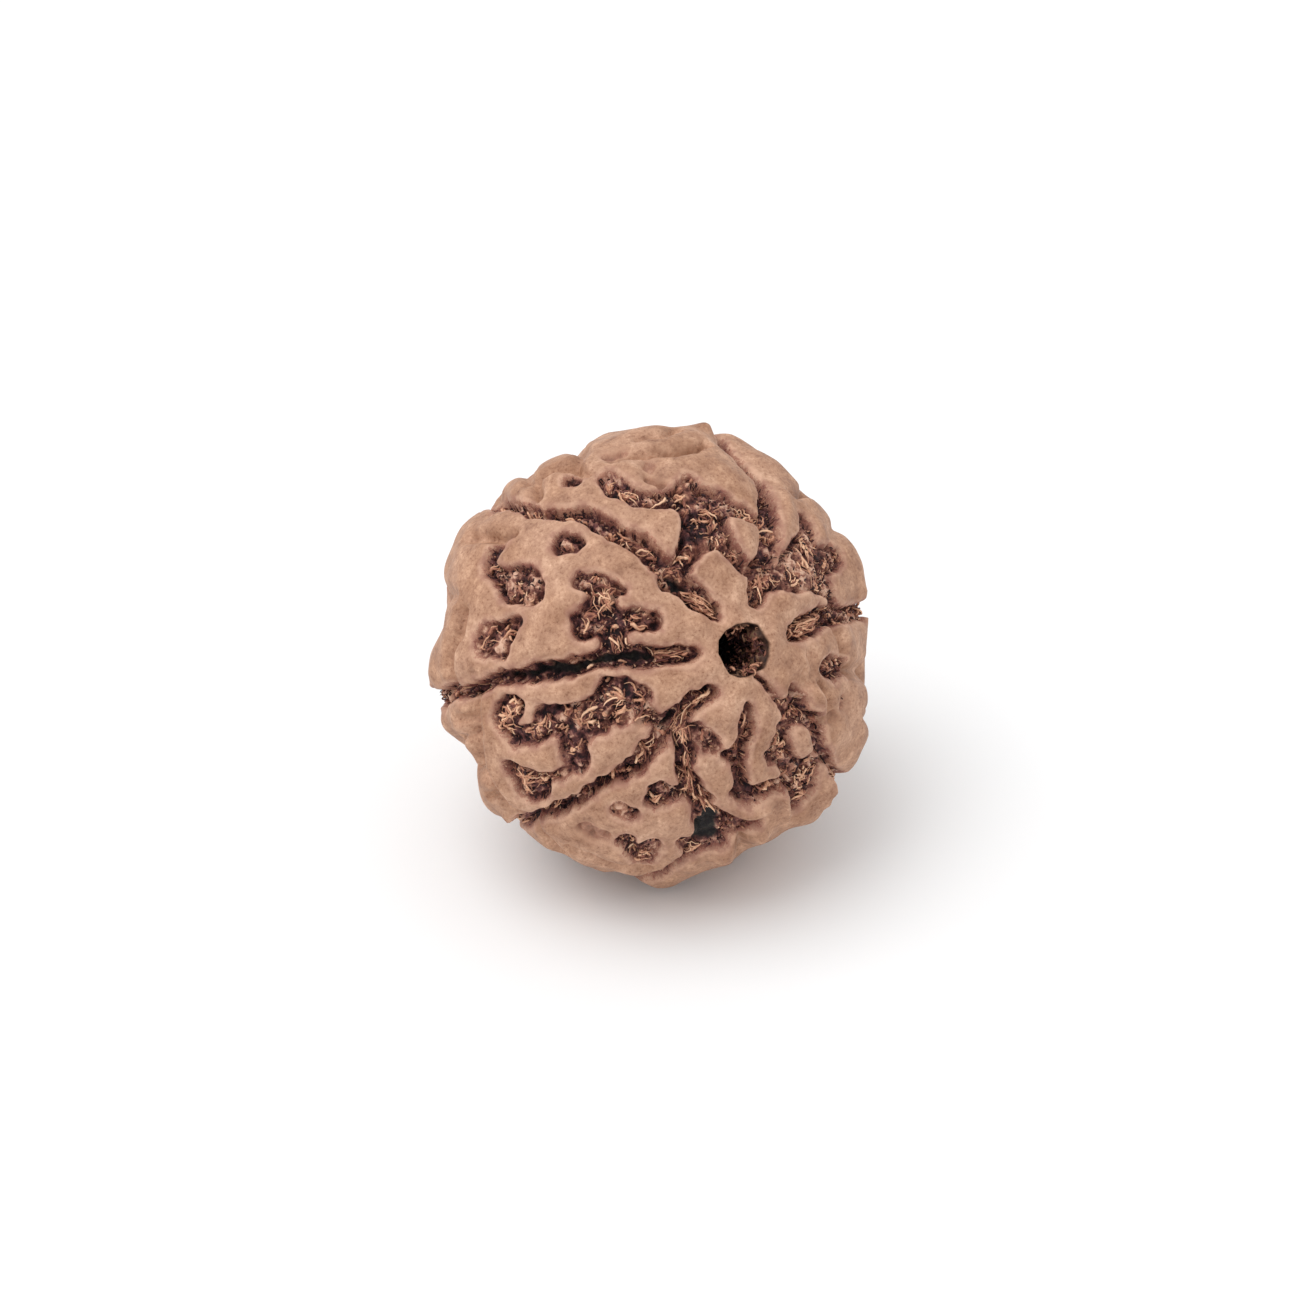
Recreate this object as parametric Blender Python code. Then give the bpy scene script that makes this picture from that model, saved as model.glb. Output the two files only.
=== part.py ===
"""A rudraksha seed: one grown piece with seven clefts, puffed skin, winding valleys, pits and a string hole.

Blender works here in metres, and the seed's own sizes below are in millimetres.
The seed's polar layout: lon turns round the string hole, 0 to the right and 90 up as seen facing the near
mouth. Turn is the angle from the near mouth, 0 at that mouth and 180 at the far one.
"""

import bmesh
import bpy
import numpy as np
from mathutils import Matrix

MM = 0.001

# Body
EQUATOR_R = 11.25
POLE_R = 9.55
TILT_DEG = 29.5  # how far the near mouth looks up from level
REST_CUT = 10.42  # from the seed's middle down to the flat rest spot
REST_AHEAD = 1.3  # the rest spot's middle lies this far in front of the seed's middle
SKIN_LEVELS = 7
SKIN_TRIANGLES = 11300

# String hole: its mouth's lon and radius from corner to corner
HOLE_CORNERS = (
    (0, 1.37), (40, 1.53), (62, 1.43), (90, 1.37), (115, 1.40), (140, 1.48), (165, 1.43),
    (190, 1.32), (213, 1.30), (238, 1.23), (260, 1.18), (285, 1.23), (310, 1.43), (335, 1.37),
)
HOLE_RINGS = 7

# Valley shape
VALLEY_DEPTH = 0.52  # the shares in the tables below multiply it
WALL_RUN = 0.20
RIM_MORE = 0.06  # the tables give a valley's half width a little under its rim
WALL_LEAD = 0.05
SLIT_DEPTH = 0.45
SHOULDER_DROP = 0.16
SHOULDER_REACH = 0.20
PILLOW_DROP = 0.18
PILLOW_REACH = 0.65
LOBE_DROP = 0.26
LOBE_REACH = 1.2
JOIN_SOFTNESS = 0.10
PUFFED_LON_TURN = (282, 48)  # the lobes round here are pillows
PUFFED_RISE = 0.30
PUFFED_REACH = 5.8

# Hidden side
SEED_NUMBER = 7
SEEN_SIDE = (-0.458, 0.146, 0.877)
HIDDEN_TRIES = 3600
REST_LON_TURN = (270.0, 115.0)
REST_CLEAR = 3.3

# Valleys of the side that the photo shows: name, share of the depth, then (lon, turn, half width in mm)
VALLEYS = (
    ("cleft left", 1.45, ((163, 15.5, 0.28), (164, 20, 0.40), (164.5, 30, 0.50), (164, 40, 0.40),
                          (167, 50, 0.40), (168.5, 60, 0.38), (169, 70, 0.28), (171.5, 80, 0.28),
                          (172.5, 92, 0.34))),
    ("cleft upper left", 1.45, ((106, 12.5, 0.10), (107, 15, 0.30), (112, 21, 0.50), (114.5, 28.5, 0.50),
                               (112.5, 33, 0.50), (113, 36.5, 0.45), (112.7, 41, 0.45), (113.8, 45, 0.48),
                               (115.7, 50.3, 0.36), (116.3, 55, 0.40), (116.7, 60, 0.42), (119, 64, 0.33),
                               (120.5, 68.5, 0.20), (121.6, 75.3, 0.28), (121, 83, 0.22))),
    ("cleft upper left bay", 1.1, ((116, 29.5, 0.35), (121, 30.5, 0.28))),
    ("cleft upper right", 1.3, ((50, 16, 0.28), (50, 18, 0.40), (50.5, 21.5, 0.42), (52, 24.5, 0.38),
                                (50.3, 28.5, 0.44), (48.8, 34, 0.50), (48.6, 39.5, 0.48), (49, 46.5, 0.46),
                                (49.3, 53, 0.38), (50.3, 59, 0.34), (53.3, 65.5, 0.30), (57, 72, 0.24))),
    ("cleft right start", 1.3, ((359, 19.5, 0.38), (359, 23, 0.58), (359, 29, 0.48), (360, 35, 0.42),
                                (358, 41, 0.38))),
    ("cleft right", 0.9, ((358, 41, 0.38), (356, 50, 0.38), (354.5, 60, 0.33))),
    ("cleft lower right crack", 0.7, ((290, 8.5, 0.06), (296, 14, 0.08), (296.5, 20, 0.10),
                                      (297.5, 22.5, 0.24), (294, 25.5, 0.28))),
    ("cleft lower right", 1.45, ((312, 21, 0.10), (309.5, 22.5, 0.20), (306.5, 25.5, 0.32), (304, 30, 0.20),
                                (305.5, 34, 0.34), (304.5, 37.5, 0.42), (302, 41, 0.30), (302, 47, 0.18),
                                (302.5, 56, 0.18))),
    ("cleft lower right side", 0.7, ((297.5, 22.5, 0.26), (299, 27, 0.2), (303, 31, 0.2))),
    ("cleft lower left", 1.45, ((211.5, 15.5, 0.38), (207.5, 20.3, 0.42), (206, 25, 0.38),
                                (206, 29.5, 0.33), (209.5, 35, 0.38), (209.8, 39.5, 0.43),
                                (212, 44.5, 0.43), (210.3, 50, 0.30), (209.3, 55, 0.26),
                                (209.2, 60, 0.25), (209.8, 65.5, 0.27), (209.8, 70, 0.32),
                                (209.9, 76, 0.32), (209.5, 80, 0.24))),
    ("cleft down", 1.2, ((208, 28.5, 0.3), (217.5, 30, 0.3), (224.5, 33, 0.42), (228, 36, 0.35),
                         (230.5, 38.5, 0.25), (235.5, 40.7, 0.38), (239.5, 43, 0.38), (245, 45, 0.42))),
    ("cleft down pocket", 0.95, ((244.5, 47.5, 0.40), (250.5, 51.5, 0.68), (255, 52.5, 0.56),
                                 (255.5, 57.5, 0.64), (252, 61, 0.70), (247.5, 60.5, 0.52))),
    ("cleft down tail", 0.8, ((250, 60, 0.3), (251, 66, 0.2), (250, 74, 0.2))),
    ("tee top", 1.1, ((137.5, 50, 0.42), (136, 46, 0.38), (135.7, 42.3, 0.33), (135.5, 39, 0.15))),
    ("tee stem", 1.25, ((136.5, 46, 0.38), (141.5, 43.7, 0.58), (146.7, 43.7, 0.62))),
    ("tee left foot", 1.0, ((146.7, 43.7, 0.58), (152.3, 46.5, 0.58), (150.5, 48.5, 0.38))),
    ("tee right foot", 1.1, ((148, 39, 0.46), (148, 36, 0.4), (145.2, 32.5, 0.46), (143.4, 28.6, 0.44))),
    ("tee bridge", 1.0, ((151, 41, 0.46), (156, 38.5, 0.58), (161, 38, 0.62))),
    ("far pit horn", 1.0, ((131.5, 76, 0.24), (136, 78, 0.34), (139.5, 77.5, 0.38), (142, 73.5, 0.36))),
    ("far pit", 0.85, ((142, 68.8, 0.72), (141.8, 64, 0.70), (144.3, 63.5, 0.68), (144.6, 69, 0.66))),
    ("diamond pit", 0.85, ((153.3, 64.5, 0.22), (156.5, 68, 0.52), (159.5, 71, 0.62), (161.5, 69.5, 0.48))),
    ("diamond pit corner", 0.75, ((157, 70, 0.5), (157.5, 75, 0.52), (161, 75.5, 0.45),
                                  (160, 71, 0.5))),
    ("pea pit", 0.9, ((128, 59.6, 0.54), (126.5, 57.3, 0.42))),
    ("dot pit", 0.8, ((109, 71, 0.42),)),
    ("upper valley start", 1.1, ((102.3, 63.6, 0.50), (103.2, 59.5, 0.52), (101.3, 54, 0.42),
                                  (96, 50, 0.40), (88.5, 48.5, 0.50))),
    ("upper valley", 1.25, ((88, 47.5, 0.56), (80.5, 46.5, 0.84), (75, 45.3, 0.74), (70, 44.3, 0.60),
                           (63.5, 42.5, 0.38), (53, 41, 0.28))),
    ("upper valley left arm", 1.3, ((85.5, 43, 0.6), (88, 38, 0.64), (92, 34.7, 0.58), (98, 32.5, 0.45),
                                    (103, 31, 0.4), (109, 31, 0.36))),
    ("upper valley right arm", 1.2, ((77, 43.5, 0.62), (79.5, 38, 0.68), (78.3, 34, 0.6), (76, 30.5, 0.40),
                                     (70, 27.2, 0.32), (63, 25, 0.27), (57, 25.5, 0.26))),
    ("upper valley pocket", 1.1, ((84, 38, 0.5), (87, 34, 0.45))),
    ("upper valley crest", 0.9, ((81, 52.3, 0.40), (84.5, 50, 0.4))),
    ("crown saddle", 0.25, ((79, 64.8, 0.26), (73, 65.5, 0.26))),
    ("crown hollow", 0.44, ((95.5, 72, 0.28), (91.5, 71.5, 0.22))),
    ("crown dent", 0.42, ((88.5, 63, 0.24), (89.5, 61.5, 0.2))),
    ("crown dent low", 0.42, ((93, 57.5, 0.22), (91, 54.5, 0.2))),
    ("rough hollow top", 0.75, ((33.5, 53, 0.25), (31.5, 50, 0.42), (29.5, 45.5, 0.58), (31, 40.5, 0.55),
                                (34.5, 33.5, 0.42), (37, 27.5, 0.36))),
    ("rough hollow middle", 0.75, ((29.5, 45, 0.5), (24, 42, 0.64), (18.5, 46.5, 0.5), (15.5, 50, 0.32))),
    ("rough hollow low", 0.75, ((24.5, 38.5, 0.64), (25.5, 32.5, 0.52), (17, 37.5, 0.5), (10.5, 41.5, 0.42),
                               (3, 43.5, 0.34))),
    ("rough hollow far", 0.7, ((21, 47, 0.50), (17, 52, 0.50), (15.5, 55, 0.36))),
    ("rough hollow notch", 0.7, ((44, 22, 0.3), (38, 26, 0.42), (27, 29.5, 0.5))),
    ("ring pit", 0.8, ((334, 32.5, 0.38), (335, 37, 0.55), (336, 43.5, 0.38))),
    ("bead pit", 0.45, ((322, 44.5, 0.34),)),
    ("bead pit low", 0.35, ((314.5, 41.5, 0.26),)),
    ("under valley", 0.9, ((294, 26, 0.22), (286, 27, 0.28), (282, 30, 0.40), (282.5, 35.5, 0.40),
                            (284.5, 41, 0.50), (287, 47, 0.58), (287.5, 53, 0.50), (286, 58.5, 0.36))),
    ("under valley side", 0.7, ((288, 44, 0.45), (293.5, 43.5, 0.42), (295, 49.5, 0.48),
                                (291, 56, 0.45))),
    ("long pit", 1.2, ((258.5, 16.2, 0.26), (257.5, 20.8, 0.36), (257, 25, 0.34), (255, 29.3, 0.36),
                        (256.5, 33.6, 0.25), (258.5, 37, 0.25), (260, 40, 0.27))),
    ("long pit hook", 1.2, ((258, 41.3, 0.34), (261.5, 42.5, 0.38), (266, 43, 0.34), (271, 42.5, 0.3),
                             (276, 43, 0.26), (280, 43, 0.26))),
    ("long pit side", 1.0, ((254, 29.5, 0.30), (247.5, 30.3, 0.26))),
    ("lip pit", 0.6, ((273.5, 32.3, 0.18), (275, 34.5, 0.15))),
    ("low hollow", 0.9, ((257.5, 52.5, 0.32), (261, 53.5, 0.38), (264.5, 53.5, 0.38), (267.5, 53, 0.26))),
    ("low hollow foot", 0.8, ((261, 54.5, 0.34), (264, 56, 0.3))),
    ("claw", 0.8, ((217, 28.5, 0.3), (222, 26.5, 0.26), (229.5, 27, 0.28), (236, 28, 0.30),
                   (239, 28.7, 0.18))),
    ("button pit", 1.1, ((227, 48.5, 0.60), (225.5, 46.5, 0.5))),
    ("button pit neck", 1.0, ((227, 48, 0.4), (231.5, 45.5, 0.28), (236, 43.5, 0.3))),
    ("eye pit", 0.7, ((219.8, 57.7, 0.36), (223.2, 56.6, 0.36))),
    ("soft pit", 0.44, ((219.5, 69.5, 0.42), (223.5, 67.5, 0.34))),
    ("low pit", 0.85, ((229, 63.5, 0.26), (229.7, 66, 0.30), (235, 67.5, 0.36), (236.5, 64, 0.40),
                       (239.5, 65.5, 0.30))),
    ("low pit tail", 0.85, ((235, 67.5, 0.40), (238, 69.5, 0.52), (239.5, 71.5, 0.42))),
    ("mitten head", 1.1, ((176.5, 40.3, 0.45), (180, 37.5, 0.55), (184, 34, 0.45), (185.8, 31.3, 0.28))),
    ("mitten link", 1.1, ((188, 33.5, 0.28), (192, 33.5, 0.18), (197, 32.8, 0.22), (205, 32, 0.28))),
    ("mitten", 1.2, ((181.5, 41.5, 0.52), (185.5, 45, 0.66), (185.5, 50, 0.74), (184.5, 55, 0.74),
                     (181.8, 59.5, 0.55))),
    ("mitten tip", 1.0, ((180, 72.3, 0.50), (177.8, 69.6, 0.55), (176.6, 66.6, 0.42))),
    ("mitten lower", 1.0, ((181.7, 71.5, 0.48), (185.3, 70, 0.42), (185.5, 65.5, 0.44),
                            (184.8, 60, 0.50))),
    ("mitten toe", 1.1, ((190, 54, 0.65), (196, 56.3, 0.58), (199.3, 56.8, 0.44),
                          (200.8, 57.4, 0.28))),
    ("mitten thumb", 0.9, ((190, 49, 0.52), (192, 46.3, 0.28))),
    ("mitten palm", 1.0, ((187, 39, 0.4), (190.5, 40.8, 0.36), (191.5, 38.3, 0.25))),
    ("crumb pit", 0.4, ((196.5, 36.2, 0.26),)),
    ("deep pit", 1.15, ((193.5, 74.5, 0.4), (197.5, 73, 0.6), (201, 74, 0.54), (201.8, 72, 0.50),
                        (200, 69.5, 0.45))),
    ("deep pit thread", 0.7, ((199.3, 66, 0.26), (200, 63, 0.22), (199.8, 61.5, 0.26))),
)

# Narrow openings along the bottom of the clefts, laid out like the valleys
SLITS = (
    ("left slit", 1.0, ((164.8, 26, 0.12), (164.5, 32, 0.17), (164.2, 40, 0.19), (166, 46, 0.10),
                        (167.5, 50, 0.22), (167, 55, 0.20), (168.3, 60, 0.14), (168.8, 69, 0.13))),
    ("upper left slit", 1.0, ((116, 31.5, 0.12), (114.5, 28, 0.20), (113.5, 25, 0.14))),
    ("lower left slit", 1.0, ((205.5, 27.5, 0.12), (206.5, 31.5, 0.14))),
    ("pocket slit", 0.3, ((251, 52, 0.54), (251, 57.5, 0.66), (254.5, 58, 0.46))),
)

# Folds and ridges of the skin: name, height in mm, then (lon, turn, reach in mm)
FOLDS = (
    ("left rim fold", -0.55, ((152, 83, 0.35), (157, 83.5, 0.35), (161, 87, 0.4), (166, 88.5, 0.4),
                              (170, 88, 0.35))),
    ("lower left rim fold", -0.75, ((172, 80, 0.4), (176, 81, 0.5), (181, 82, 0.55), (186, 83.5, 0.6),
                                    (190.5, 86, 0.6), (195, 85.5, 0.5), (199, 85, 0.45), (203, 85.5, 0.5),
                                    (207, 84, 0.5), (209, 81.5, 0.4))),
    ("lower left rim ridge", 0.18, ((172, 76.5, 0.3), (177.5, 77.5, 0.3), (183, 77.5, 0.3), (187, 80, 0.3),
                                    (190.5, 82, 0.3), (195, 82, 0.3), (200, 81, 0.3), (204, 81.5, 0.3),
                                    (207.5, 80, 0.3))),
    ("rim crease one", -0.40, ((178.5, 88, 0.25), (179, 81, 0.25))),
    ("rim crease two", -0.40, ((184, 92, 0.25), (182.5, 84, 0.25))),
    ("rim crease three", -0.50, ((193, 93, 0.3), (194.5, 87, 0.3))),
    ("rim crease four", -0.45, ((201, 92, 0.25), (200, 86, 0.25))),
    ("shoulder fold", -0.60, ((129.5, 75.5, 0.28), (131.5, 79, 0.35), (132, 83, 0.35), (132.5, 90, 0.4))),
    ("shoulder ridge", 0.18, ((132, 74.5, 0.25), (134, 78, 0.3), (135, 83, 0.3))),
    ("dot lobe fold", -0.55, ((117, 76, 0.28), (113, 80.5, 0.32), (108, 78.5, 0.32), (105, 74, 0.3),
                              (104.5, 69.5, 0.25))),
    ("upper left notch low", -0.45, ((121.5, 87, 0.3), (118, 94, 0.4), (116, 100, 0.45), (115, 107, 0.5))),
    ("upper left notch", -0.50, ((113.5, 84, 0.35), (109, 90, 0.4), (106.5, 97, 0.45), (105, 105, 0.5))),
    ("upper left notch high", -0.50, ((104, 75, 0.3), (98.5, 78.5, 0.35), (95, 86, 0.45), (92.5, 95, 0.5),
                                      (91, 103, 0.5))),
    ("left step", -0.40, ((148, 88, 0.3), (147, 94, 0.4), (147, 106, 0.5))),
    ("crown fold", -0.60, ((96, 69, 0.25), (90, 67.5, 0.3), (85, 66, 0.25), (81, 64.5, 0.3),
                           (73, 65.5, 0.3), (67, 68, 0.25))),
    ("crown fold high", -0.45, ((84, 74, 0.3), (78, 72.5, 0.3), (72, 76, 0.3))),
    ("crown dimple", -0.16, ((88, 61, 0.4), (90, 56, 0.35))),
    ("upper right notch", -0.60, ((38.5, 60, 0.3), (34, 66, 0.32), (29, 74, 0.38))),
    ("upper right notch low", -0.25, ((22.5, 57, 0.3), (20.5, 62, 0.35), (19, 70, 0.4))),
    ("upper right ridge", 0.10, ((42.5, 58, 0.3), (41.5, 50, 0.3), (42, 40, 0.3), (44, 30, 0.3))),
    ("right notch", -0.65, ((335, 47, 0.35), (336, 56, 0.5), (336, 68, 0.5))),
    ("right notch low", -0.35, ((323, 57, 0.3), (322, 68, 0.4))),
    ("right islet fold", -0.40, ((353, 40, 0.25), (348, 41, 0.35), (343, 42, 0.3))),
    ("right slope", -0.40, ((339, 25, 0.35), (331, 27, 0.45), (325, 26, 0.35))),
    ("near lobe edge", -0.30, ((309, 23.5, 0.18), (315, 23.8, 0.22), (321, 23.5, 0.22), (327, 22.5, 0.2))),
    ("right lobe fold", -0.50, ((323, 30, 0.24), (318.5, 34.5, 0.28), (314, 38, 0.28), (310, 38, 0.24))),
    ("outer lobe", 0.34, ((300, 40, 0.2), (302, 45, 0.26), (303, 51, 0.32), (302, 58, 0.4),
                          (296.5, 64, 0.4))),
    ("leaf lobe", 0.42, ((318, 27, 0.42), (314.5, 31, 0.52), (310.5, 34, 0.40))),
    ("lower right knob", 0.12, ((291, 32, 0.35), (293, 35, 0.4))),
    ("thin ridge", 0.34, ((278, 44, 0.18), (279, 51, 0.22), (280, 59, 0.3))),
    ("lens lobe", 0.52, ((261, 47.3, 0.34), (265, 47.8, 0.46), (269.5, 47.5, 0.36))),
    ("lens lobe fold", -0.45, ((256.5, 50, 0.2), (261, 51.5, 0.24), (269, 52, 0.2))),
    ("low lobe", 0.36, ((270, 54, 0.45), (270.5, 59, 0.5))),
    ("bottom notch", -0.85, ((265, 60, 0.35), (268, 65, 0.45), (272, 74, 0.6))),
    ("bottom lump", 0.40, ((260, 61.5, 0.5), (260.5, 66, 0.5))),
    ("bottom notch left", -0.30, ((247, 78, 0.4), (246, 88, 0.5))),
    ("lower edge fold", -0.35, ((222, 80, 0.3), (228, 77.5, 0.35), (236, 77, 0.35), (243, 75, 0.3))),
    ("lower rim fold", -0.45, ((213, 84, 0.3), (218, 84.5, 0.35), (224, 86, 0.4))),
)

# Swellings and hollows of the body: lon, turn, height, reach
SWELLINGS = (
    (8, 64, 0.50, 1.5),
    (25, 67, 0.10, 0.9),
    (44, 74, 0.35, 1.3),
    (51, 81, 0.20, 1.0),
    (56, 84, 0.35, 1.5),
    (62, 81, 0.35, 0.9),
    (88, 90, -0.35, 2.2),
    (90, 101, -0.40, 1.4),
    (104, 105, -0.55, 1.2),
    (107, 99, -0.25, 2.2),
    (126, 102, 0.15, 0.9),
    (140, 104, 0.25, 1.1),
    (151, 106, -0.70, 1.9),
    (153, 97, -0.35, 1.5),
    (168, 101, 0.20, 0.9),
    (173, 107, 0.35, 0.9),
    (177, 106, -0.40, 0.7),
    (189, 97, -0.80, 1.1),
    (195, 111, -1.00, 2.2),
    (206, 99, 0.25, 1.5),
    (222, 98, -0.30, 3.0),
    (228, 92, -0.30, 1.0),
    (238, 94, -0.25, 2.2),
    (252, 87, 0.35, 1.4),
    (265, 80, -0.35, 1.1),
    (274, 78, -0.35, 1.0),
    (280, 84, -0.35, 1.0),
    (286, 72, -0.20, 0.8),
    (293, 69, 0.50, 1.1),
    (300, 61, 0.45, 0.7),
    (314, 64, 0.65, 2.0),
    (326, 63, -0.30, 0.8),
    (340, 69, -0.30, 1.0),
    (352, 62, 0.30, 1.0),
    (275, 131, 0.28, 3.4),
    (277, 68, -0.30, 1.2),
    (260, 71, -0.35, 0.9),
    (103, 92, -0.35, 1.5),
    (150, 119, -0.35, 1.4),
    (187, 96, -0.28, 1.2),
    (61, 79, 0.35, 0.6),
    (358, 62, 0.35, 0.9),
    (215, 102, 0.25, 0.7),
    (230, 98, -0.25, 0.9),
    (242, 86, -0.22, 0.7),
    (75, 84, -0.30, 0.7),
    (66, 74, 0.20, 0.8),
    (84, 78, 0.18, 0.7),
    (210, 92, 0.40, 0.6),
    (98, 85, -0.28, 0.8),
    (308, 70, 0.25, 0.7),
    (195, 104, -0.20, 1.4),
)


def on_body(lon, turn):
    """The point of the smooth body at this lon and turn."""
    lon = np.radians(lon)
    turn = np.radians(turn)
    way = np.stack([np.sin(turn) * np.cos(lon), np.sin(turn) * np.sin(lon), np.cos(turn)], axis=-1)
    return to_body(way)


def to_body(way):
    """Each direction from the seed's middle, taken out to the smooth body."""
    way = way / np.linalg.norm(way, axis=-1, keepdims=True)
    across = (way[..., 0] ** 2 + way[..., 1] ** 2) / EQUATOR_R**2
    along = way[..., 2] ** 2 / POLE_R**2
    return way / np.sqrt(across + along)[..., None]


def outward(points):
    """The smooth body's normals at these points of it."""
    normal = points / np.array([EQUATOR_R**2, EQUATOR_R**2, POLE_R**2])
    return normal / np.linalg.norm(normal, axis=-1, keepdims=True)


def strokes_of(valleys):
    """One row a stroke: both ends, both half widths and the share of the depth."""
    rows = []
    for _, share, chain in valleys:
        chain = np.array(chain if len(chain) > 1 else chain * 2, float)
        ends = on_body(chain[:, 0], chain[:, 1])
        half = chain[:, 2] + RIM_MORE
        for i in range(len(chain) - 1):
            rows.append([*ends[i], *ends[i + 1], half[i], half[i + 1], share])
    return np.array(rows)


def distance_to(points, strokes):
    """How far each point lies outside the strokes' edges, and the share of the depth there."""
    total = np.full(len(points), 1e-12)
    shares = np.zeros(len(points))
    for row in strokes:
        start = row[0:3]
        run = row[3:6] - start
        reach = max(row[6], row[7]) + np.linalg.norm(run) + 2.8
        near = np.flatnonzero(np.abs(points - start).max(axis=1) < reach)
        offset = points[near] - start
        part = np.clip(offset @ run / max(run @ run, 1e-9), 0, 1)
        gap = np.linalg.norm(offset - part[:, None] * run, axis=1) - (row[6] + (row[7] - row[6]) * part)
        weight = np.exp(-np.clip(gap, -2, 2.7) / JOIN_SOFTNESS)
        total[near] += weight
        shares[near] += weight * row[8]
    return -JOIN_SOFTNESS * np.log(total), shares / total


def smooth_step(value):
    """Rises from 0 to 1 with level ends."""
    value = np.clip(value, 0, 1)
    return value * value * (3 - 2 * value)


def lattice_noise(points, size, salt):
    """Smooth noise between -1 and 1 whose lumps are about this size across."""
    place = points / size + 100.0
    corner = np.floor(place).astype(np.int64)
    blend = smooth_step(place - corner)
    result = np.zeros(len(points))
    for x in (0, 1):
        for y in (0, 1):
            for z in (0, 1):
                key = (corner[:, 0] + x) * 73856093 ^ (corner[:, 1] + y) * 19349663
                key = (key ^ (corner[:, 2] + z) * 83492791 ^ salt * 2654435761) & 0x7FFFFFFF
                key = (key * 1103515245 + 12345) & 0x7FFFFFFF
                key = ((key >> 11) ^ key) * 1597334677 & 0x7FFFFFFF
                value = key / 0x3FFFFFFF - 1
                share = (blend[:, 0] if x else 1 - blend[:, 0]) * (blend[:, 1] if y else 1 - blend[:, 1])
                result += value * share * (blend[:, 2] if z else 1 - blend[:, 2])
    return result


def far_clefts(random):
    """The clefts from where the photo loses them to the far mouth."""
    made = []
    for name, _, chain in VALLEYS:
        if name not in ("cleft left", "cleft upper left", "cleft upper right", "cleft right",
                        "cleft lower right", "cleft lower left", "cleft down tail"):
            continue
        lon, turn, half = chain[-1]
        steps = [(lon, turn, half)]
        while turn < 158:
            turn += random.uniform(5, 8)
            lon += random.uniform(-2.4, 2.4)
            steps.append((lon, turn, random.uniform(0.26, 0.46)))
        made.append((name + " far", 1.3, tuple(steps)))
    return made


def hidden_pits(random, taken):
    """Winding pits in the lobes that the photo doesn't show, clear of each other and of the rest spot."""
    rest = on_body(*REST_LON_TURN)
    strokes = []
    for _ in range(HIDDEN_TRIES):
        point = to_body(random.normal(size=3))
        heading = random.normal(size=3)
        steps = random.integers(1, 6)
        halves = random.uniform(0.26, 0.70, steps + 1)
        share = random.uniform(0.8, 1.3)
        turns = random.normal(0, 0.8, steps)
        lengths = random.uniform(0.7, 1.5, steps)
        chain = [point]
        for turn, length in zip(turns, lengths):
            normal = outward(chain[-1])
            heading = heading - heading @ normal * normal
            heading = heading / np.linalg.norm(heading)
            heading = heading * np.cos(turn) + np.cross(normal, heading) * np.sin(turn)
            chain.append(to_body(chain[-1] + heading * length))
        chain = np.array(chain)
        seen = outward(chain) @ np.array(SEEN_SIDE) > 0.0
        by_rest = np.linalg.norm(chain - rest, axis=1) < REST_CLEAR
        by_mouth = np.hypot(chain[:, 0], chain[:, 1]) < 3.0
        gap = distance_to(chain, np.vstack([taken, *strokes]))[0] - halves
        if seen.any() or by_rest.any() or by_mouth.any() or gap.min() < 0.42:
            continue
        rows = [[*chain[i], *chain[i + 1], halves[i], halves[i + 1], share] for i in range(steps)]
        strokes.append(np.array(rows))
    return np.vstack(strokes)


def fold_height(points):
    """The folds, ridges, swellings and hollows that the skin carries outside its valleys."""
    height = np.zeros(len(points))
    for _, rise, chain in FOLDS:
        chain = np.array(chain, float)
        ends = on_body(chain[:, 0], chain[:, 1])
        near = np.flatnonzero(np.linalg.norm(points - ends.mean(axis=0), axis=1) < 7)
        most = np.zeros(len(near))
        for i in range(len(chain) - 1):
            run = ends[i + 1] - ends[i]
            offset = points[near] - ends[i]
            part = np.clip(offset @ run / (run @ run), 0, 1)
            away = np.linalg.norm(offset - part[:, None] * run, axis=1)
            reach = chain[i, 2] + (chain[i + 1, 2] - chain[i, 2]) * part
            most = np.maximum(most, np.exp(-((away / reach) ** 2)))
        height[near] += rise * most
    for lon, turn, rise, reach in SWELLINGS:
        away = np.linalg.norm(points - on_body(lon, turn), axis=1)
        height += rise * np.exp(-((away / reach) ** 2))
    return height


def plateau_height(points, cleft_gap, gap):
    """The lobes' own shape: rounded off towards the clefts and pits, and pillowed on the lower right."""
    away = np.linalg.norm(points - on_body(*PUFFED_LON_TURN), axis=1)
    puffed = np.exp(-((away / PUFFED_REACH) ** 4))
    height = 0.16 * lattice_noise(points, 2.6, 4) + 0.09 * lattice_noise(points, 1.2, 5)
    height = height + fold_height(points)
    height = height + PUFFED_RISE * puffed * (1 - np.exp(-np.clip(gap, 0, 9) / 0.5))
    height = height - LOBE_DROP * (1 - 0.8 * puffed) * np.exp(-np.clip(cleft_gap, 0, 9) / LOBE_REACH)
    height = height - PILLOW_DROP * (1 - 0.6 * puffed) * np.exp(-np.clip(gap, 0, 9) / PILLOW_REACH)
    return height - SHOULDER_DROP * np.exp(-np.clip(gap, 0, 9) / SHOULDER_REACH)


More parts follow.
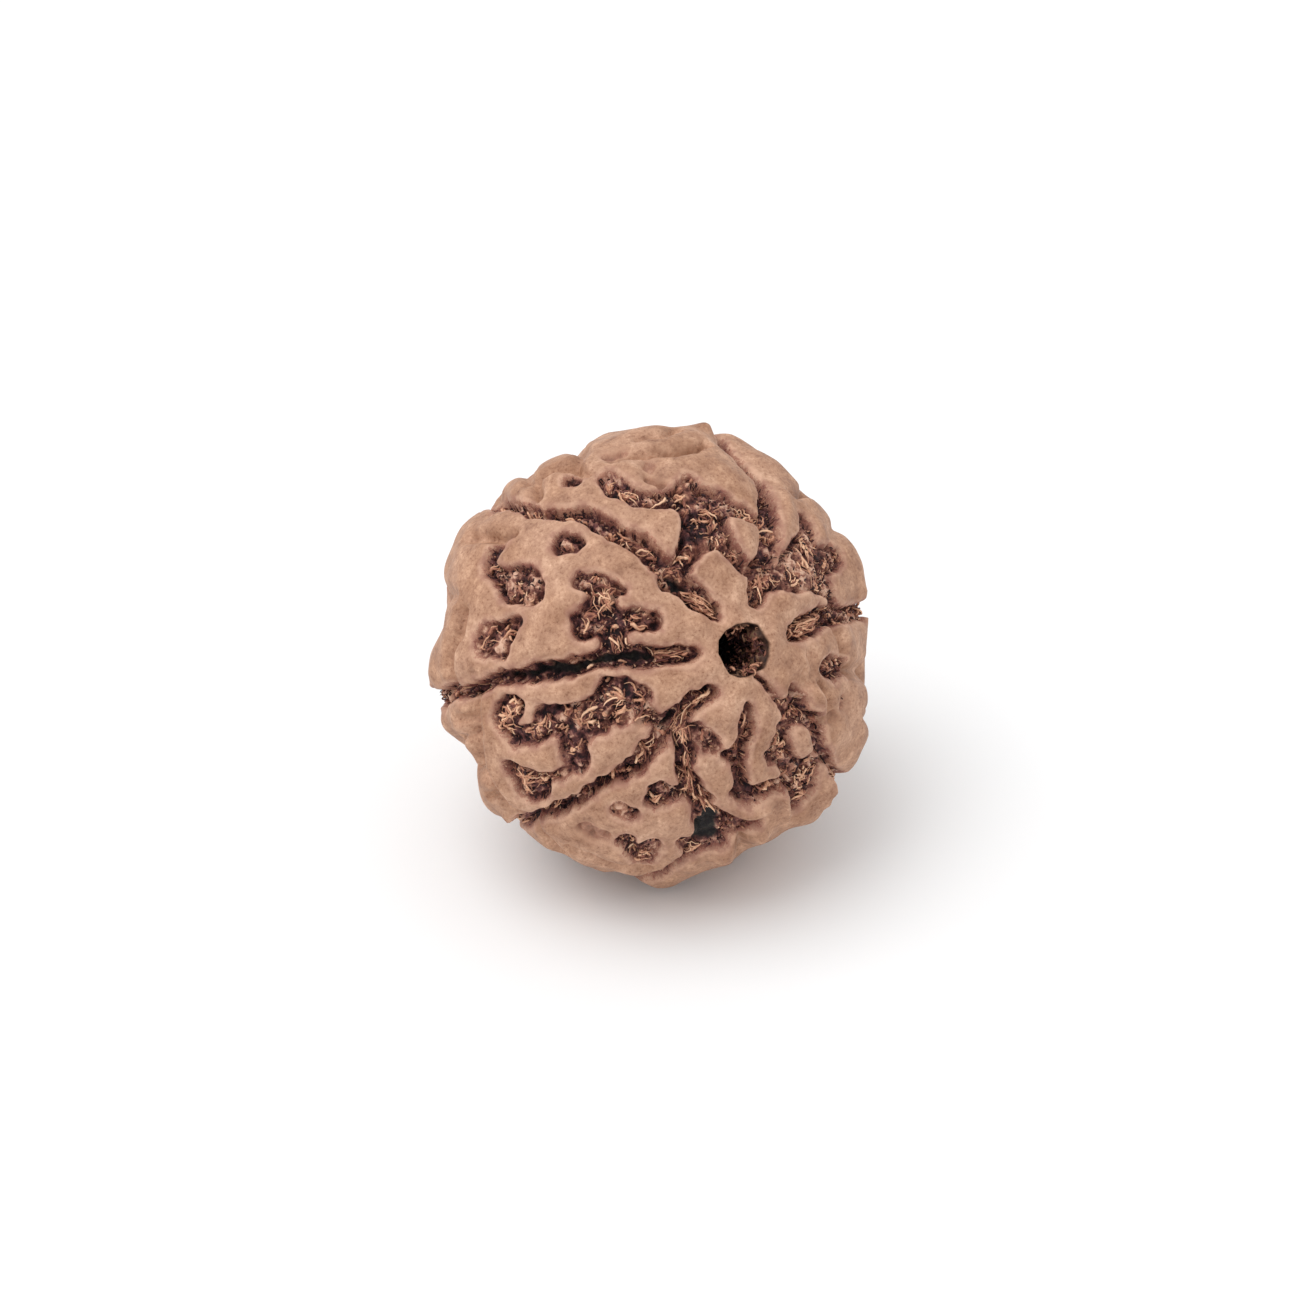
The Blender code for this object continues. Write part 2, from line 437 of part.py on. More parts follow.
def skin_height(points, clefts, valleys, slits):
    """How far the skin stands off the smooth body at these points of it, in millimetres."""
    warp = np.stack([lattice_noise(points, 0.9, salt) for salt in (1, 2, 3)], axis=1)
    moved = points + 0.09 * warp
    cleft_gap = distance_to(moved, clefts)[0]
    gap, share = distance_to(moved, valleys)
    slit_gap, slit_share = distance_to(moved, slits)
    inside = smooth_step((WALL_LEAD - gap) / WALL_RUN)
    height = plateau_height(points, cleft_gap, gap)
    height = height - VALLEY_DEPTH * share * inside
    height = height + 0.16 * inside * lattice_noise(points, 0.55, 6)
    return height - SLIT_DEPTH * slit_share * smooth_step(-slit_gap / 0.12)


def seed_turn():
    """Turns the string hole from upright to its tilt, with the near mouth towards -Y."""
    return Matrix.Rotation(np.radians(90 - TILT_DEG), 4, "X")


def seed_middle():
    """Where the seed's middle stands, in metres, with the rest spot at the origin."""
    return Matrix.Translation((0, REST_AHEAD * MM, REST_CUT * MM))


def clear_scene():
    """Removes whatever the startup file holds."""
    for obj in list(bpy.data.objects):
        bpy.data.objects.remove(obj)


def collection_named(name, helper):
    """A new collection, kept out of renders if it holds helpers."""
    made = bpy.data.collections.new(name)
    made.hide_render = helper
    bpy.context.scene.collection.children.link(made)
    return made


def add_object(name, mesh, collection):
    """Puts the mesh into the collection as an object of this name."""
    obj = bpy.data.objects.new(name, mesh)
    collection.objects.link(obj)
    return obj


def shell_material():
    """Dry red-brown shell."""
    made = bpy.data.materials.new("dry_shell")
    made.use_nodes = True
    surface = made.node_tree.nodes["Principled BSDF"]
    surface.inputs["Base Color"].default_value = (0.48, 0.27, 0.18, 1)
    surface.inputs["Roughness"].default_value = 0.7
    return made


def skin_mesh():
    """A fine ball pushed out and in to the seed's skin."""
    work = bmesh.new()
    bmesh.ops.create_icosphere(work, subdivisions=SKIN_LEVELS, radius=1)
    mesh = bpy.data.meshes.new("seed_skin")
    work.to_mesh(mesh)
    work.free()
    way = np.empty(len(mesh.vertices) * 3)
    mesh.vertices.foreach_get("co", way)
    points = to_body(way.reshape(-1, 3))
    random = np.random.default_rng(SEED_NUMBER)
    far = far_clefts(random)
    clefts = strokes_of([row for row in VALLEYS if row[0].startswith("cleft")] + far)
    placed = strokes_of(list(VALLEYS) + far)
    valleys = np.vstack([placed, hidden_pits(random, placed)])
    height = skin_height(points, clefts, valleys, strokes_of(SLITS))
    skin = (points + outward(points) * height[:, None]) * MM
    mesh.vertices.foreach_set("co", skin.ravel())
    mesh.transform(seed_middle() @ seed_turn())
    mesh.update()
    return mesh


def hole_cutter(collection):
    """A many-cornered rod along the seed's axis, longer than the seed."""
    work = bmesh.new()
    rings = []
    for ring in range(HOLE_RINGS):
        height = (ring / (HOLE_RINGS - 1) * 2 - 1) * 1.3 * POLE_R
        angles = np.radians([lon for lon, _ in HOLE_CORNERS])
        radii = np.array([radius for _, radius in HOLE_CORNERS])
        rings.append([
            work.verts.new((r * np.cos(a) * MM, r * np.sin(a) * MM, height * MM))
            for r, a in zip(radii, angles)
        ])
    for low, high in zip(rings, rings[1:]):
        for i in range(len(low)):
            j = (i + 1) % len(low)
            work.faces.new((low[i], low[j], high[j], high[i]))
    work.faces.new(rings[-1])
    work.faces.new(rings[0][::-1])
    mesh = bpy.data.meshes.new("hole_rod")
    work.to_mesh(mesh)
    work.free()
    mesh.transform(seed_middle() @ seed_turn())
    return add_object("hole_rod", mesh, collection)


def rest_cutter(collection):
    """A block whose top is the level that the seed rests on."""
    bpy.ops.mesh.primitive_cube_add(size=30 * MM, location=(0, 0, -15 * MM))
    block = bpy.context.object
    block.name = "rest_block"
    for held_by in block.users_collection:
        held_by.objects.unlink(block)
    collection.objects.link(block)
    return block


def cut(obj, cutter):
    """Takes the cutter's shape out of the object."""
    cutter.hide_render = True
    cutter.display_type = "WIRE"
    modifier = obj.modifiers.new(cutter.name, "BOOLEAN")
    modifier.operation = "DIFFERENCE"
    modifier.solver = "EXACT"
    modifier.object = cutter


def main():
    """Builds the seed in its own collection and the two cutters in another."""
    clear_scene()
    parts = collection_named("rudraksha_seed_parts", False)
    cutters = collection_named("cutters", True)
    mesh = skin_mesh()
    seed = add_object("rudraksha_seed", mesh, parts)
    seed.data.materials.append(shell_material())
    thin = seed.modifiers.new("fewer_triangles", "DECIMATE")
    thin.ratio = SKIN_TRIANGLES / len(mesh.polygons)
    cut(seed, hole_cutter(cutters))
    cut(seed, rest_cutter(cutters))


main()
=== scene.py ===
"""The rudraksha seed dressed for its picture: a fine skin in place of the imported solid, fibres in its
valleys, and the plain pale floor, soft light and camera of the photograph.

The seed's own sizes are in millimetres and are turned into metres where a mesh is made.
Its polar layout is the solid's: lon turns round the string hole, 0 to the right and 90 up as seen facing
the near mouth, and turn is the angle from that mouth.
"""

import bmesh
import bpy
import numpy as np
from mathutils import Matrix, Vector

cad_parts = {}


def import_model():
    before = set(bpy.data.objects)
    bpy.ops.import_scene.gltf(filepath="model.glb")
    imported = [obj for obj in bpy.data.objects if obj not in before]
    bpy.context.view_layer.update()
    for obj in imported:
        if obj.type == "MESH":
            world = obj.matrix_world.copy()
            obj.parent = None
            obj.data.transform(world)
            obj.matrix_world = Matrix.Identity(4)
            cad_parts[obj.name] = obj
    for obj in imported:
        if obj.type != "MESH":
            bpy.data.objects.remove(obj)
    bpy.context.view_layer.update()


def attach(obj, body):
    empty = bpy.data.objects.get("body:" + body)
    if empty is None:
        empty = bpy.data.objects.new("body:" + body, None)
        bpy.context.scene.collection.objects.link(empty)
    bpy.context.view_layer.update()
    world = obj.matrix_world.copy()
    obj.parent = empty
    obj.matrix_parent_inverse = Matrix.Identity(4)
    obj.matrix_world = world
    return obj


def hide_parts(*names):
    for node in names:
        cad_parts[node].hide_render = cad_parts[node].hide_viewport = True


MM = 0.001

# The solid's sizes, and its hole's corners as (lon, radius)
EQUATOR_R = 11.25
POLE_R = 9.55
TILT_DEG = 29.5
REST_CUT = 10.42
REST_AHEAD = 1.3
HOLE_CORNERS = (
    (0, 1.37), (40, 1.53), (62, 1.43), (90, 1.37), (115, 1.40), (140, 1.48), (165, 1.43),
    (190, 1.32), (213, 1.30), (238, 1.23), (260, 1.18), (285, 1.23), (310, 1.43), (335, 1.37),
)

# Valley shape
VALLEY_DEPTH = 0.52  # the shares in the tables below multiply it
RIM_MORE = 0.06  # the tables give a valley's half width a little under its rim
WALL_LEAD = 0.05
SLIT_DEPTH = 0.45
SHOULDER_DROP = 0.16
SHOULDER_REACH = 0.20
PILLOW_DROP = 0.18
PILLOW_REACH = 0.65
LOBE_DROP = 0.26
LOBE_REACH = 1.2
JOIN_SOFTNESS = 0.10
PUFFED_LON_TURN = (282, 48)  # the lobes round here are pillows
PUFFED_RISE = 0.30
PUFFED_REACH = 5.8

# Hidden side
SEED_NUMBER = 7
SEEN_SIDE = (-0.458, 0.146, 0.877)
HIDDEN_TRIES = 3600
REST_LON_TURN = (270.0, 115.0)
REST_CLEAR = 3.3
MOUTH_CLEAR = 3.0
PIT_CLEAR = 0.42
FAR_TURN = 158  # the clefts end here, short of the far mouth

# The skin's mesh and the hole's mouths
SKIN_LEVELS = 8
SKIN_TRIANGLES = 196000
MOUTH_TURN = 16.0
BLEND_TURN = 40.0
MOUTH_DEPTH = 6.0
RIM_ROUND = 0.16
OPEN_TURN = 1.3
LINING_HALF = 4.6
FINE_WALL_RUN = 0.17  # a little steeper than the solid's 0.20
MOUTH_BLEND = 5.0  # how far round a mouth the mesh is drawn in
LINING_RINGS = 46
LINING_SIDES = 96
MOUTH_LEVEL = 9.4  # the rims' height over the seed's middle
HOLE_TAPER = 0.006
LIT_LON_DEG = -30  # the side of the hole's wall that the photo shows

# Fibres and crumbs
TUFT_TRIES = 5200  # starts tried over the whole seed for the tufts of strands
TUFTS = 660
TUFT_STRANDS = 6
BIT_TRIES = 120000  # starts tried over the whole seed for the short bits
FLOOR_SHARE = 0.38  # the rest of the tries count only for the walls
BITS = 21500
BIT_POINTS = 4
BIT_SIDES = 3
COMBED = (
    ((117, 25), (106, 13), 0.34),
    ((112, 24), (103, 14), 0.28),
    ((163.5, 26), (163, 15.5), 0.24),
    ((212, 30), (210, 15), 0.30),
    ((206, 28), (222, 31), 0.28),
    ((224, 33), (236, 41), 0.20),
    ((240, 43), (252, 50), 0.26),
    ((359, 32), (359, 19), 0.36),
    ((154, 38), (161, 36), 0.40),
    ((52, 24), (50, 17), 0.25),
)  # from here to there, and the half width in mm
COMBED_STRANDS = 460
FIBRE_POINTS = 8
FIBRE_SIDES = 4
HOLE_CRUMBS = 380
CRUMB_LEVEL = 9.35  # the hole's crumbs are measured down from here

# Camera
PHOTO_PX = 1298
PX_PER_MM = 20.4
LENS = 90.0
SENSOR = 36.0
AZIMUTH_DEG = -33.5
ELEVATION_DEG = 34.0
AIM_LEFT_PX = 1.0
AIM_UP_PX = 3.5

# Light and floor
SURROUND = 0.90
LAMP_PLACE = (-0.24, 0.06, 0.51)
LAMP_AIM = (0, 0, 0.01)
LAMP_SIZE = 0.46
LAMP_POWER = 1.62
FLOOR_HALF = 2.0

# Valleys of the side that the photo shows: name, share of the depth, then (lon, turn, half width in mm)
VALLEYS = (
    ("cleft left", 1.45, (
        (163, 15.5, 0.28), (164, 20, 0.40), (164.5, 30, 0.50), (164, 40, 0.40), (167, 50, 0.40),
        (168.5, 60, 0.38), (169, 70, 0.28), (171.5, 80, 0.28), (172.5, 92, 0.34),
    )),
    ("cleft upper left", 1.45, (
        (106, 12.5, 0.10), (107, 15, 0.30), (112, 21, 0.50), (114.5, 28.5, 0.50), (112.5, 33, 0.50),
        (113, 36.5, 0.45), (112.7, 41, 0.45), (113.8, 45, 0.48), (115.7, 50.3, 0.36), (116.3, 55, 0.40),
        (116.7, 60, 0.42), (119, 64, 0.33), (120.5, 68.5, 0.20), (121.6, 75.3, 0.28), (121, 83, 0.22),
    )),
    ("cleft upper left bay", 1.1, ((116, 29.5, 0.35), (121, 30.5, 0.28))),
    ("cleft upper right", 1.3, (
        (50, 16, 0.28), (50, 18, 0.40), (50.5, 21.5, 0.42), (52, 24.5, 0.38), (50.3, 28.5, 0.44),
        (48.8, 34, 0.50), (48.6, 39.5, 0.48), (49, 46.5, 0.46), (49.3, 53, 0.38), (50.3, 59, 0.34),
        (53.3, 65.5, 0.30), (57, 72, 0.24),
    )),
    ("cleft right start", 1.3, (
        (359, 19.5, 0.38), (359, 23, 0.58), (359, 29, 0.48), (360, 35, 0.42), (358, 41, 0.38),
    )),
    ("cleft right", 0.9, ((358, 41, 0.38), (356, 50, 0.38), (354.5, 60, 0.33))),
    ("cleft lower right crack", 0.7, (
        (290, 8.5, 0.06), (296, 14, 0.08), (296.5, 20, 0.10), (297.5, 22.5, 0.24), (294, 25.5, 0.28),
    )),
    ("cleft lower right", 1.45, (
        (312, 21, 0.10), (309.5, 22.5, 0.20), (306.5, 25.5, 0.32), (304, 30, 0.20), (305.5, 34, 0.34),
        (304.5, 37.5, 0.42), (302, 41, 0.30), (302, 47, 0.18), (302.5, 56, 0.18),
    )),
    ("cleft lower right side", 0.7, ((297.5, 22.5, 0.26), (299, 27, 0.2), (303, 31, 0.2))),
    ("cleft lower left", 1.45, (
        (211.5, 15.5, 0.38), (207.5, 20.3, 0.42), (206, 25, 0.38), (206, 29.5, 0.33), (209.5, 35, 0.38),
        (209.8, 39.5, 0.43), (212, 44.5, 0.43), (210.3, 50, 0.30), (209.3, 55, 0.26), (209.2, 60, 0.25),
        (209.8, 65.5, 0.27), (209.8, 70, 0.32), (209.9, 76, 0.32), (209.5, 80, 0.24),
    )),
    ("cleft down", 1.2, (
        (208, 28.5, 0.3), (217.5, 30, 0.3), (224.5, 33, 0.42), (228, 36, 0.35), (230.5, 38.5, 0.25),
        (235.5, 40.7, 0.38), (239.5, 43, 0.38), (245, 45, 0.42),
    )),
    ("cleft down pocket", 0.95, (
        (244.5, 47.5, 0.40), (250.5, 51.5, 0.68), (255, 52.5, 0.56), (255.5, 57.5, 0.64),
        (252, 61, 0.70), (247.5, 60.5, 0.52),
    )),
    ("cleft down tail", 0.8, ((250, 60, 0.3), (251, 66, 0.2), (250, 74, 0.2))),
    ("tee top", 1.1, ((137.5, 50, 0.42), (136, 46, 0.38), (135.7, 42.3, 0.33), (135.5, 39, 0.15))),
    ("tee stem", 1.25, ((136.5, 46, 0.38), (141.5, 43.7, 0.58), (146.7, 43.7, 0.62))),
    ("tee left foot", 1.0, ((146.7, 43.7, 0.58), (152.3, 46.5, 0.58), (150.5, 48.5, 0.38))),
    ("tee right foot", 1.1, (
        (148, 39, 0.46), (148, 36, 0.4), (145.2, 32.5, 0.46), (143.4, 28.6, 0.44),
    )),
    ("tee bridge", 1.0, ((151, 41, 0.46), (156, 38.5, 0.58), (161, 38, 0.62))),
    ("far pit horn", 1.0, ((131.5, 76, 0.24), (136, 78, 0.34), (139.5, 77.5, 0.38), (142, 73.5, 0.36))),
    ("far pit", 0.85, ((142, 68.8, 0.72), (141.8, 64, 0.70), (144.3, 63.5, 0.68), (144.6, 69, 0.66))),
    ("diamond pit", 0.85, (
        (153.3, 64.5, 0.22), (156.5, 68, 0.52), (159.5, 71, 0.62), (161.5, 69.5, 0.48),
    )),
    ("diamond pit corner", 0.75, (
        (157, 70, 0.5), (157.5, 75, 0.52), (161, 75.5, 0.45), (160, 71, 0.5),
    )),
    ("pea pit", 0.9, ((128, 59.6, 0.54), (126.5, 57.3, 0.42))),
    ("dot pit", 0.8, ((109, 71, 0.42),)),
    ("upper valley start", 1.1, (
        (102.3, 63.6, 0.50), (103.2, 59.5, 0.52), (101.3, 54, 0.42), (96, 50, 0.40), (88.5, 48.5, 0.50),
    )),
    ("upper valley", 1.25, (
        (88, 47.5, 0.56), (80.5, 46.5, 0.84), (75, 45.3, 0.74), (70, 44.3, 0.60), (63.5, 42.5, 0.38),
        (53, 41, 0.28),
    )),
    ("upper valley left arm", 1.3, (
        (85.5, 43, 0.6), (88, 38, 0.64), (92, 34.7, 0.58), (98, 32.5, 0.45), (103, 31, 0.4),
        (109, 31, 0.36),
    )),
    ("upper valley right arm", 1.2, (
        (77, 43.5, 0.62), (79.5, 38, 0.68), (78.3, 34, 0.6), (76, 30.5, 0.40), (70, 27.2, 0.32),
        (63, 25, 0.27), (57, 25.5, 0.26),
    )),
    ("upper valley pocket", 1.1, ((84, 38, 0.5), (87, 34, 0.45))),
    ("upper valley crest", 0.9, ((81, 52.3, 0.40), (84.5, 50, 0.4))),
    ("crown saddle", 0.25, ((79, 64.8, 0.26), (73, 65.5, 0.26))),
    ("crown hollow", 0.44, ((95.5, 72, 0.28), (91.5, 71.5, 0.22))),
    ("crown dent", 0.42, ((88.5, 63, 0.24), (89.5, 61.5, 0.2))),
    ("crown dent low", 0.42, ((93, 57.5, 0.22), (91, 54.5, 0.2))),
    ("rough hollow top", 0.75, (
        (33.5, 53, 0.25), (31.5, 50, 0.42), (29.5, 45.5, 0.58), (31, 40.5, 0.55), (34.5, 33.5, 0.42),
        (37, 27.5, 0.36),
    )),
    ("rough hollow middle", 0.75, (
        (29.5, 45, 0.5), (24, 42, 0.64), (18.5, 46.5, 0.5), (15.5, 50, 0.32),
    )),
    ("rough hollow low", 0.75, (
        (24.5, 38.5, 0.64), (25.5, 32.5, 0.52), (17, 37.5, 0.5), (10.5, 41.5, 0.42), (3, 43.5, 0.34),
    )),
    ("rough hollow far", 0.7, ((21, 47, 0.50), (17, 52, 0.50), (15.5, 55, 0.36))),
    ("rough hollow notch", 0.7, ((44, 22, 0.3), (38, 26, 0.42), (27, 29.5, 0.5))),
    ("ring pit", 0.8, ((334, 32.5, 0.38), (335, 37, 0.55), (336, 43.5, 0.38))),
    ("bead pit", 0.45, ((322, 44.5, 0.34),)),
    ("bead pit low", 0.35, ((314.5, 41.5, 0.26),)),
    ("under valley", 0.9, (
        (294, 26, 0.22), (286, 27, 0.28), (282, 30, 0.40), (282.5, 35.5, 0.40), (284.5, 41, 0.50),
        (287, 47, 0.58), (287.5, 53, 0.50), (286, 58.5, 0.36),
    )),
    ("under valley side", 0.7, (
        (288, 44, 0.45), (293.5, 43.5, 0.42), (295, 49.5, 0.48), (291, 56, 0.45),
    )),
    ("long pit", 1.2, (
        (258.5, 16.2, 0.26), (257.5, 20.8, 0.36), (257, 25, 0.34), (255, 29.3, 0.36),
        (256.5, 33.6, 0.25), (258.5, 37, 0.25), (260, 40, 0.27),
    )),
    ("long pit hook", 1.2, (
        (258, 41.3, 0.34), (261.5, 42.5, 0.38), (266, 43, 0.34), (271, 42.5, 0.3), (276, 43, 0.26),
        (280, 43, 0.26),
    )),
    ("long pit side", 1.0, ((254, 29.5, 0.30), (247.5, 30.3, 0.26))),
    ("lip pit", 0.6, ((273.5, 32.3, 0.18), (275, 34.5, 0.15))),
    ("low hollow", 0.9, (
        (257.5, 52.5, 0.32), (261, 53.5, 0.38), (264.5, 53.5, 0.38), (267.5, 53, 0.26),
    )),
    ("low hollow foot", 0.8, ((261, 54.5, 0.34), (264, 56, 0.3))),
    ("claw", 0.8, (
        (217, 28.5, 0.3), (222, 26.5, 0.26), (229.5, 27, 0.28), (236, 28, 0.30), (239, 28.7, 0.18),
    )),
    ("button pit", 1.1, ((227, 48.5, 0.60), (225.5, 46.5, 0.5))),
    ("button pit neck", 1.0, ((227, 48, 0.4), (231.5, 45.5, 0.28), (236, 43.5, 0.3))),
    ("eye pit", 0.7, ((219.8, 57.7, 0.36), (223.2, 56.6, 0.36))),
    ("soft pit", 0.44, ((219.5, 69.5, 0.42), (223.5, 67.5, 0.34))),
    ("low pit", 0.85, (
        (229, 63.5, 0.26), (229.7, 66, 0.30), (235, 67.5, 0.36), (236.5, 64, 0.40), (239.5, 65.5, 0.30),
    )),
    ("low pit tail", 0.85, ((235, 67.5, 0.40), (238, 69.5, 0.52), (239.5, 71.5, 0.42))),
    ("mitten head", 1.1, (
        (176.5, 40.3, 0.45), (180, 37.5, 0.55), (184, 34, 0.45), (185.8, 31.3, 0.28),
    )),
    ("mitten link", 1.1, ((188, 33.5, 0.28), (192, 33.5, 0.18), (197, 32.8, 0.22), (205, 32, 0.28))),
    ("mitten", 1.2, (
        (181.5, 41.5, 0.52), (185.5, 45, 0.66), (185.5, 50, 0.74), (184.5, 55, 0.74),
        (181.8, 59.5, 0.55),
    )),
    ("mitten tip", 1.0, ((180, 72.3, 0.50), (177.8, 69.6, 0.55), (176.6, 66.6, 0.42))),
    ("mitten lower", 1.0, (
        (181.7, 71.5, 0.48), (185.3, 70, 0.42), (185.5, 65.5, 0.44), (184.8, 60, 0.50),
    )),
    ("mitten toe", 1.1, ((190, 54, 0.65), (196, 56.3, 0.58), (199.3, 56.8, 0.44), (200.8, 57.4, 0.28))),
    ("mitten thumb", 0.9, ((190, 49, 0.52), (192, 46.3, 0.28))),
    ("mitten palm", 1.0, ((187, 39, 0.4), (190.5, 40.8, 0.36), (191.5, 38.3, 0.25))),
    ("crumb pit", 0.4, ((196.5, 36.2, 0.26),)),
    ("deep pit", 1.15, (
        (193.5, 74.5, 0.4), (197.5, 73, 0.6), (201, 74, 0.54), (201.8, 72, 0.50), (200, 69.5, 0.45),
    )),
    ("deep pit thread", 0.7, ((199.3, 66, 0.26), (200, 63, 0.22), (199.8, 61.5, 0.26))),
)

# Narrow openings along the bottom of the clefts, laid out like the valleys
SLITS = (
    ("left slit", 1.0, (
        (164.8, 26, 0.12), (164.5, 32, 0.17), (164.2, 40, 0.19), (166, 46, 0.10), (167.5, 50, 0.22),
        (167, 55, 0.20), (168.3, 60, 0.14), (168.8, 69, 0.13),
    )),
    ("upper left slit", 1.0, ((116, 31.5, 0.12), (114.5, 28, 0.20), (113.5, 25, 0.14))),
    ("lower left slit", 1.0, ((205.5, 27.5, 0.12), (206.5, 31.5, 0.14))),
    ("pocket slit", 0.3, ((251, 52, 0.54), (251, 57.5, 0.66), (254.5, 58, 0.46))),
)

# Folds and ridges of the skin: name, height in mm, then (lon, turn, reach in mm)
FOLDS = (
    ("left rim fold", -0.55, (
        (152, 83, 0.35), (157, 83.5, 0.35), (161, 87, 0.4), (166, 88.5, 0.4), (170, 88, 0.35),
    )),
    ("lower left rim fold", -0.75, (
        (172, 80, 0.4), (176, 81, 0.5), (181, 82, 0.55), (186, 83.5, 0.6), (190.5, 86, 0.6),
        (195, 85.5, 0.5), (199, 85, 0.45), (203, 85.5, 0.5), (207, 84, 0.5), (209, 81.5, 0.4),
    )),
    ("lower left rim ridge", 0.18, (
        (172, 76.5, 0.3), (177.5, 77.5, 0.3), (183, 77.5, 0.3), (187, 80, 0.3), (190.5, 82, 0.3),
        (195, 82, 0.3), (200, 81, 0.3), (204, 81.5, 0.3), (207.5, 80, 0.3),
    )),
    ("rim crease one", -0.40, ((178.5, 88, 0.25), (179, 81, 0.25))),
    ("rim crease two", -0.40, ((184, 92, 0.25), (182.5, 84, 0.25))),
    ("rim crease three", -0.50, ((193, 93, 0.3), (194.5, 87, 0.3))),
    ("rim crease four", -0.45, ((201, 92, 0.25), (200, 86, 0.25))),
    ("shoulder fold", -0.60, (
        (129.5, 75.5, 0.28), (131.5, 79, 0.35), (132, 83, 0.35), (132.5, 90, 0.4),
    )),
    ("shoulder ridge", 0.18, ((132, 74.5, 0.25), (134, 78, 0.3), (135, 83, 0.3))),
    ("dot lobe fold", -0.55, (
        (117, 76, 0.28), (113, 80.5, 0.32), (108, 78.5, 0.32), (105, 74, 0.3), (104.5, 69.5, 0.25),
    )),
    ("upper left notch low", -0.45, (
        (121.5, 87, 0.3), (118, 94, 0.4), (116, 100, 0.45), (115, 107, 0.5),
    )),
    ("upper left notch", -0.50, (
        (113.5, 84, 0.35), (109, 90, 0.4), (106.5, 97, 0.45), (105, 105, 0.5),
    )),
    ("upper left notch high", -0.50, (
        (104, 75, 0.3), (98.5, 78.5, 0.35), (95, 86, 0.45), (92.5, 95, 0.5), (91, 103, 0.5),
    )),
    ("left step", -0.40, ((148, 88, 0.3), (147, 94, 0.4), (147, 106, 0.5))),
    ("crown fold", -0.60, (
        (96, 69, 0.25), (90, 67.5, 0.3), (85, 66, 0.25), (81, 64.5, 0.3), (73, 65.5, 0.3),
        (67, 68, 0.25),
    )),
    ("crown fold high", -0.45, ((84, 74, 0.3), (78, 72.5, 0.3), (72, 76, 0.3))),
    ("crown dimple", -0.16, ((88, 61, 0.4), (90, 56, 0.35))),
    ("upper right notch", -0.60, ((38.5, 60, 0.3), (34, 66, 0.32), (29, 74, 0.38))),
    ("upper right notch low", -0.25, ((22.5, 57, 0.3), (20.5, 62, 0.35), (19, 70, 0.4))),
    ("upper right ridge", 0.10, ((42.5, 58, 0.3), (41.5, 50, 0.3), (42, 40, 0.3), (44, 30, 0.3))),
    ("right notch", -0.65, ((335, 47, 0.35), (336, 56, 0.5), (336, 68, 0.5))),
    ("right notch low", -0.35, ((323, 57, 0.3), (322, 68, 0.4))),
    ("right islet fold", -0.40, ((353, 40, 0.25), (348, 41, 0.35), (343, 42, 0.3))),
    ("right slope", -0.40, ((339, 25, 0.35), (331, 27, 0.45), (325, 26, 0.35))),
    ("near lobe edge", -0.30, (
        (309, 23.5, 0.18), (315, 23.8, 0.22), (321, 23.5, 0.22), (327, 22.5, 0.2),
    )),
    ("right lobe fold", -0.50, (
        (323, 30, 0.24), (318.5, 34.5, 0.28), (314, 38, 0.28), (310, 38, 0.24),
    )),
    ("outer lobe", 0.34, (
        (300, 40, 0.2), (302, 45, 0.26), (303, 51, 0.32), (302, 58, 0.4), (296.5, 64, 0.4),
    )),
    ("leaf lobe", 0.42, ((318, 27, 0.42), (314.5, 31, 0.52), (310.5, 34, 0.40))),
    ("lower right knob", 0.12, ((291, 32, 0.35), (293, 35, 0.4))),
    ("thin ridge", 0.34, ((278, 44, 0.18), (279, 51, 0.22), (280, 59, 0.3))),
    ("lens lobe", 0.52, ((261, 47.3, 0.34), (265, 47.8, 0.46), (269.5, 47.5, 0.36))),
    ("lens lobe fold", -0.45, ((256.5, 50, 0.2), (261, 51.5, 0.24), (269, 52, 0.2))),
    ("low lobe", 0.36, ((270, 54, 0.45), (270.5, 59, 0.5))),
    ("bottom notch", -0.85, ((265, 60, 0.35), (268, 65, 0.45), (272, 74, 0.6))),
    ("bottom lump", 0.40, ((260, 61.5, 0.5), (260.5, 66, 0.5))),
    ("bottom notch left", -0.30, ((247, 78, 0.4), (246, 88, 0.5))),
    ("lower edge fold", -0.35, ((222, 80, 0.3), (228, 77.5, 0.35), (236, 77, 0.35), (243, 75, 0.3))),
    ("lower rim fold", -0.45, ((213, 84, 0.3), (218, 84.5, 0.35), (224, 86, 0.4))),
)

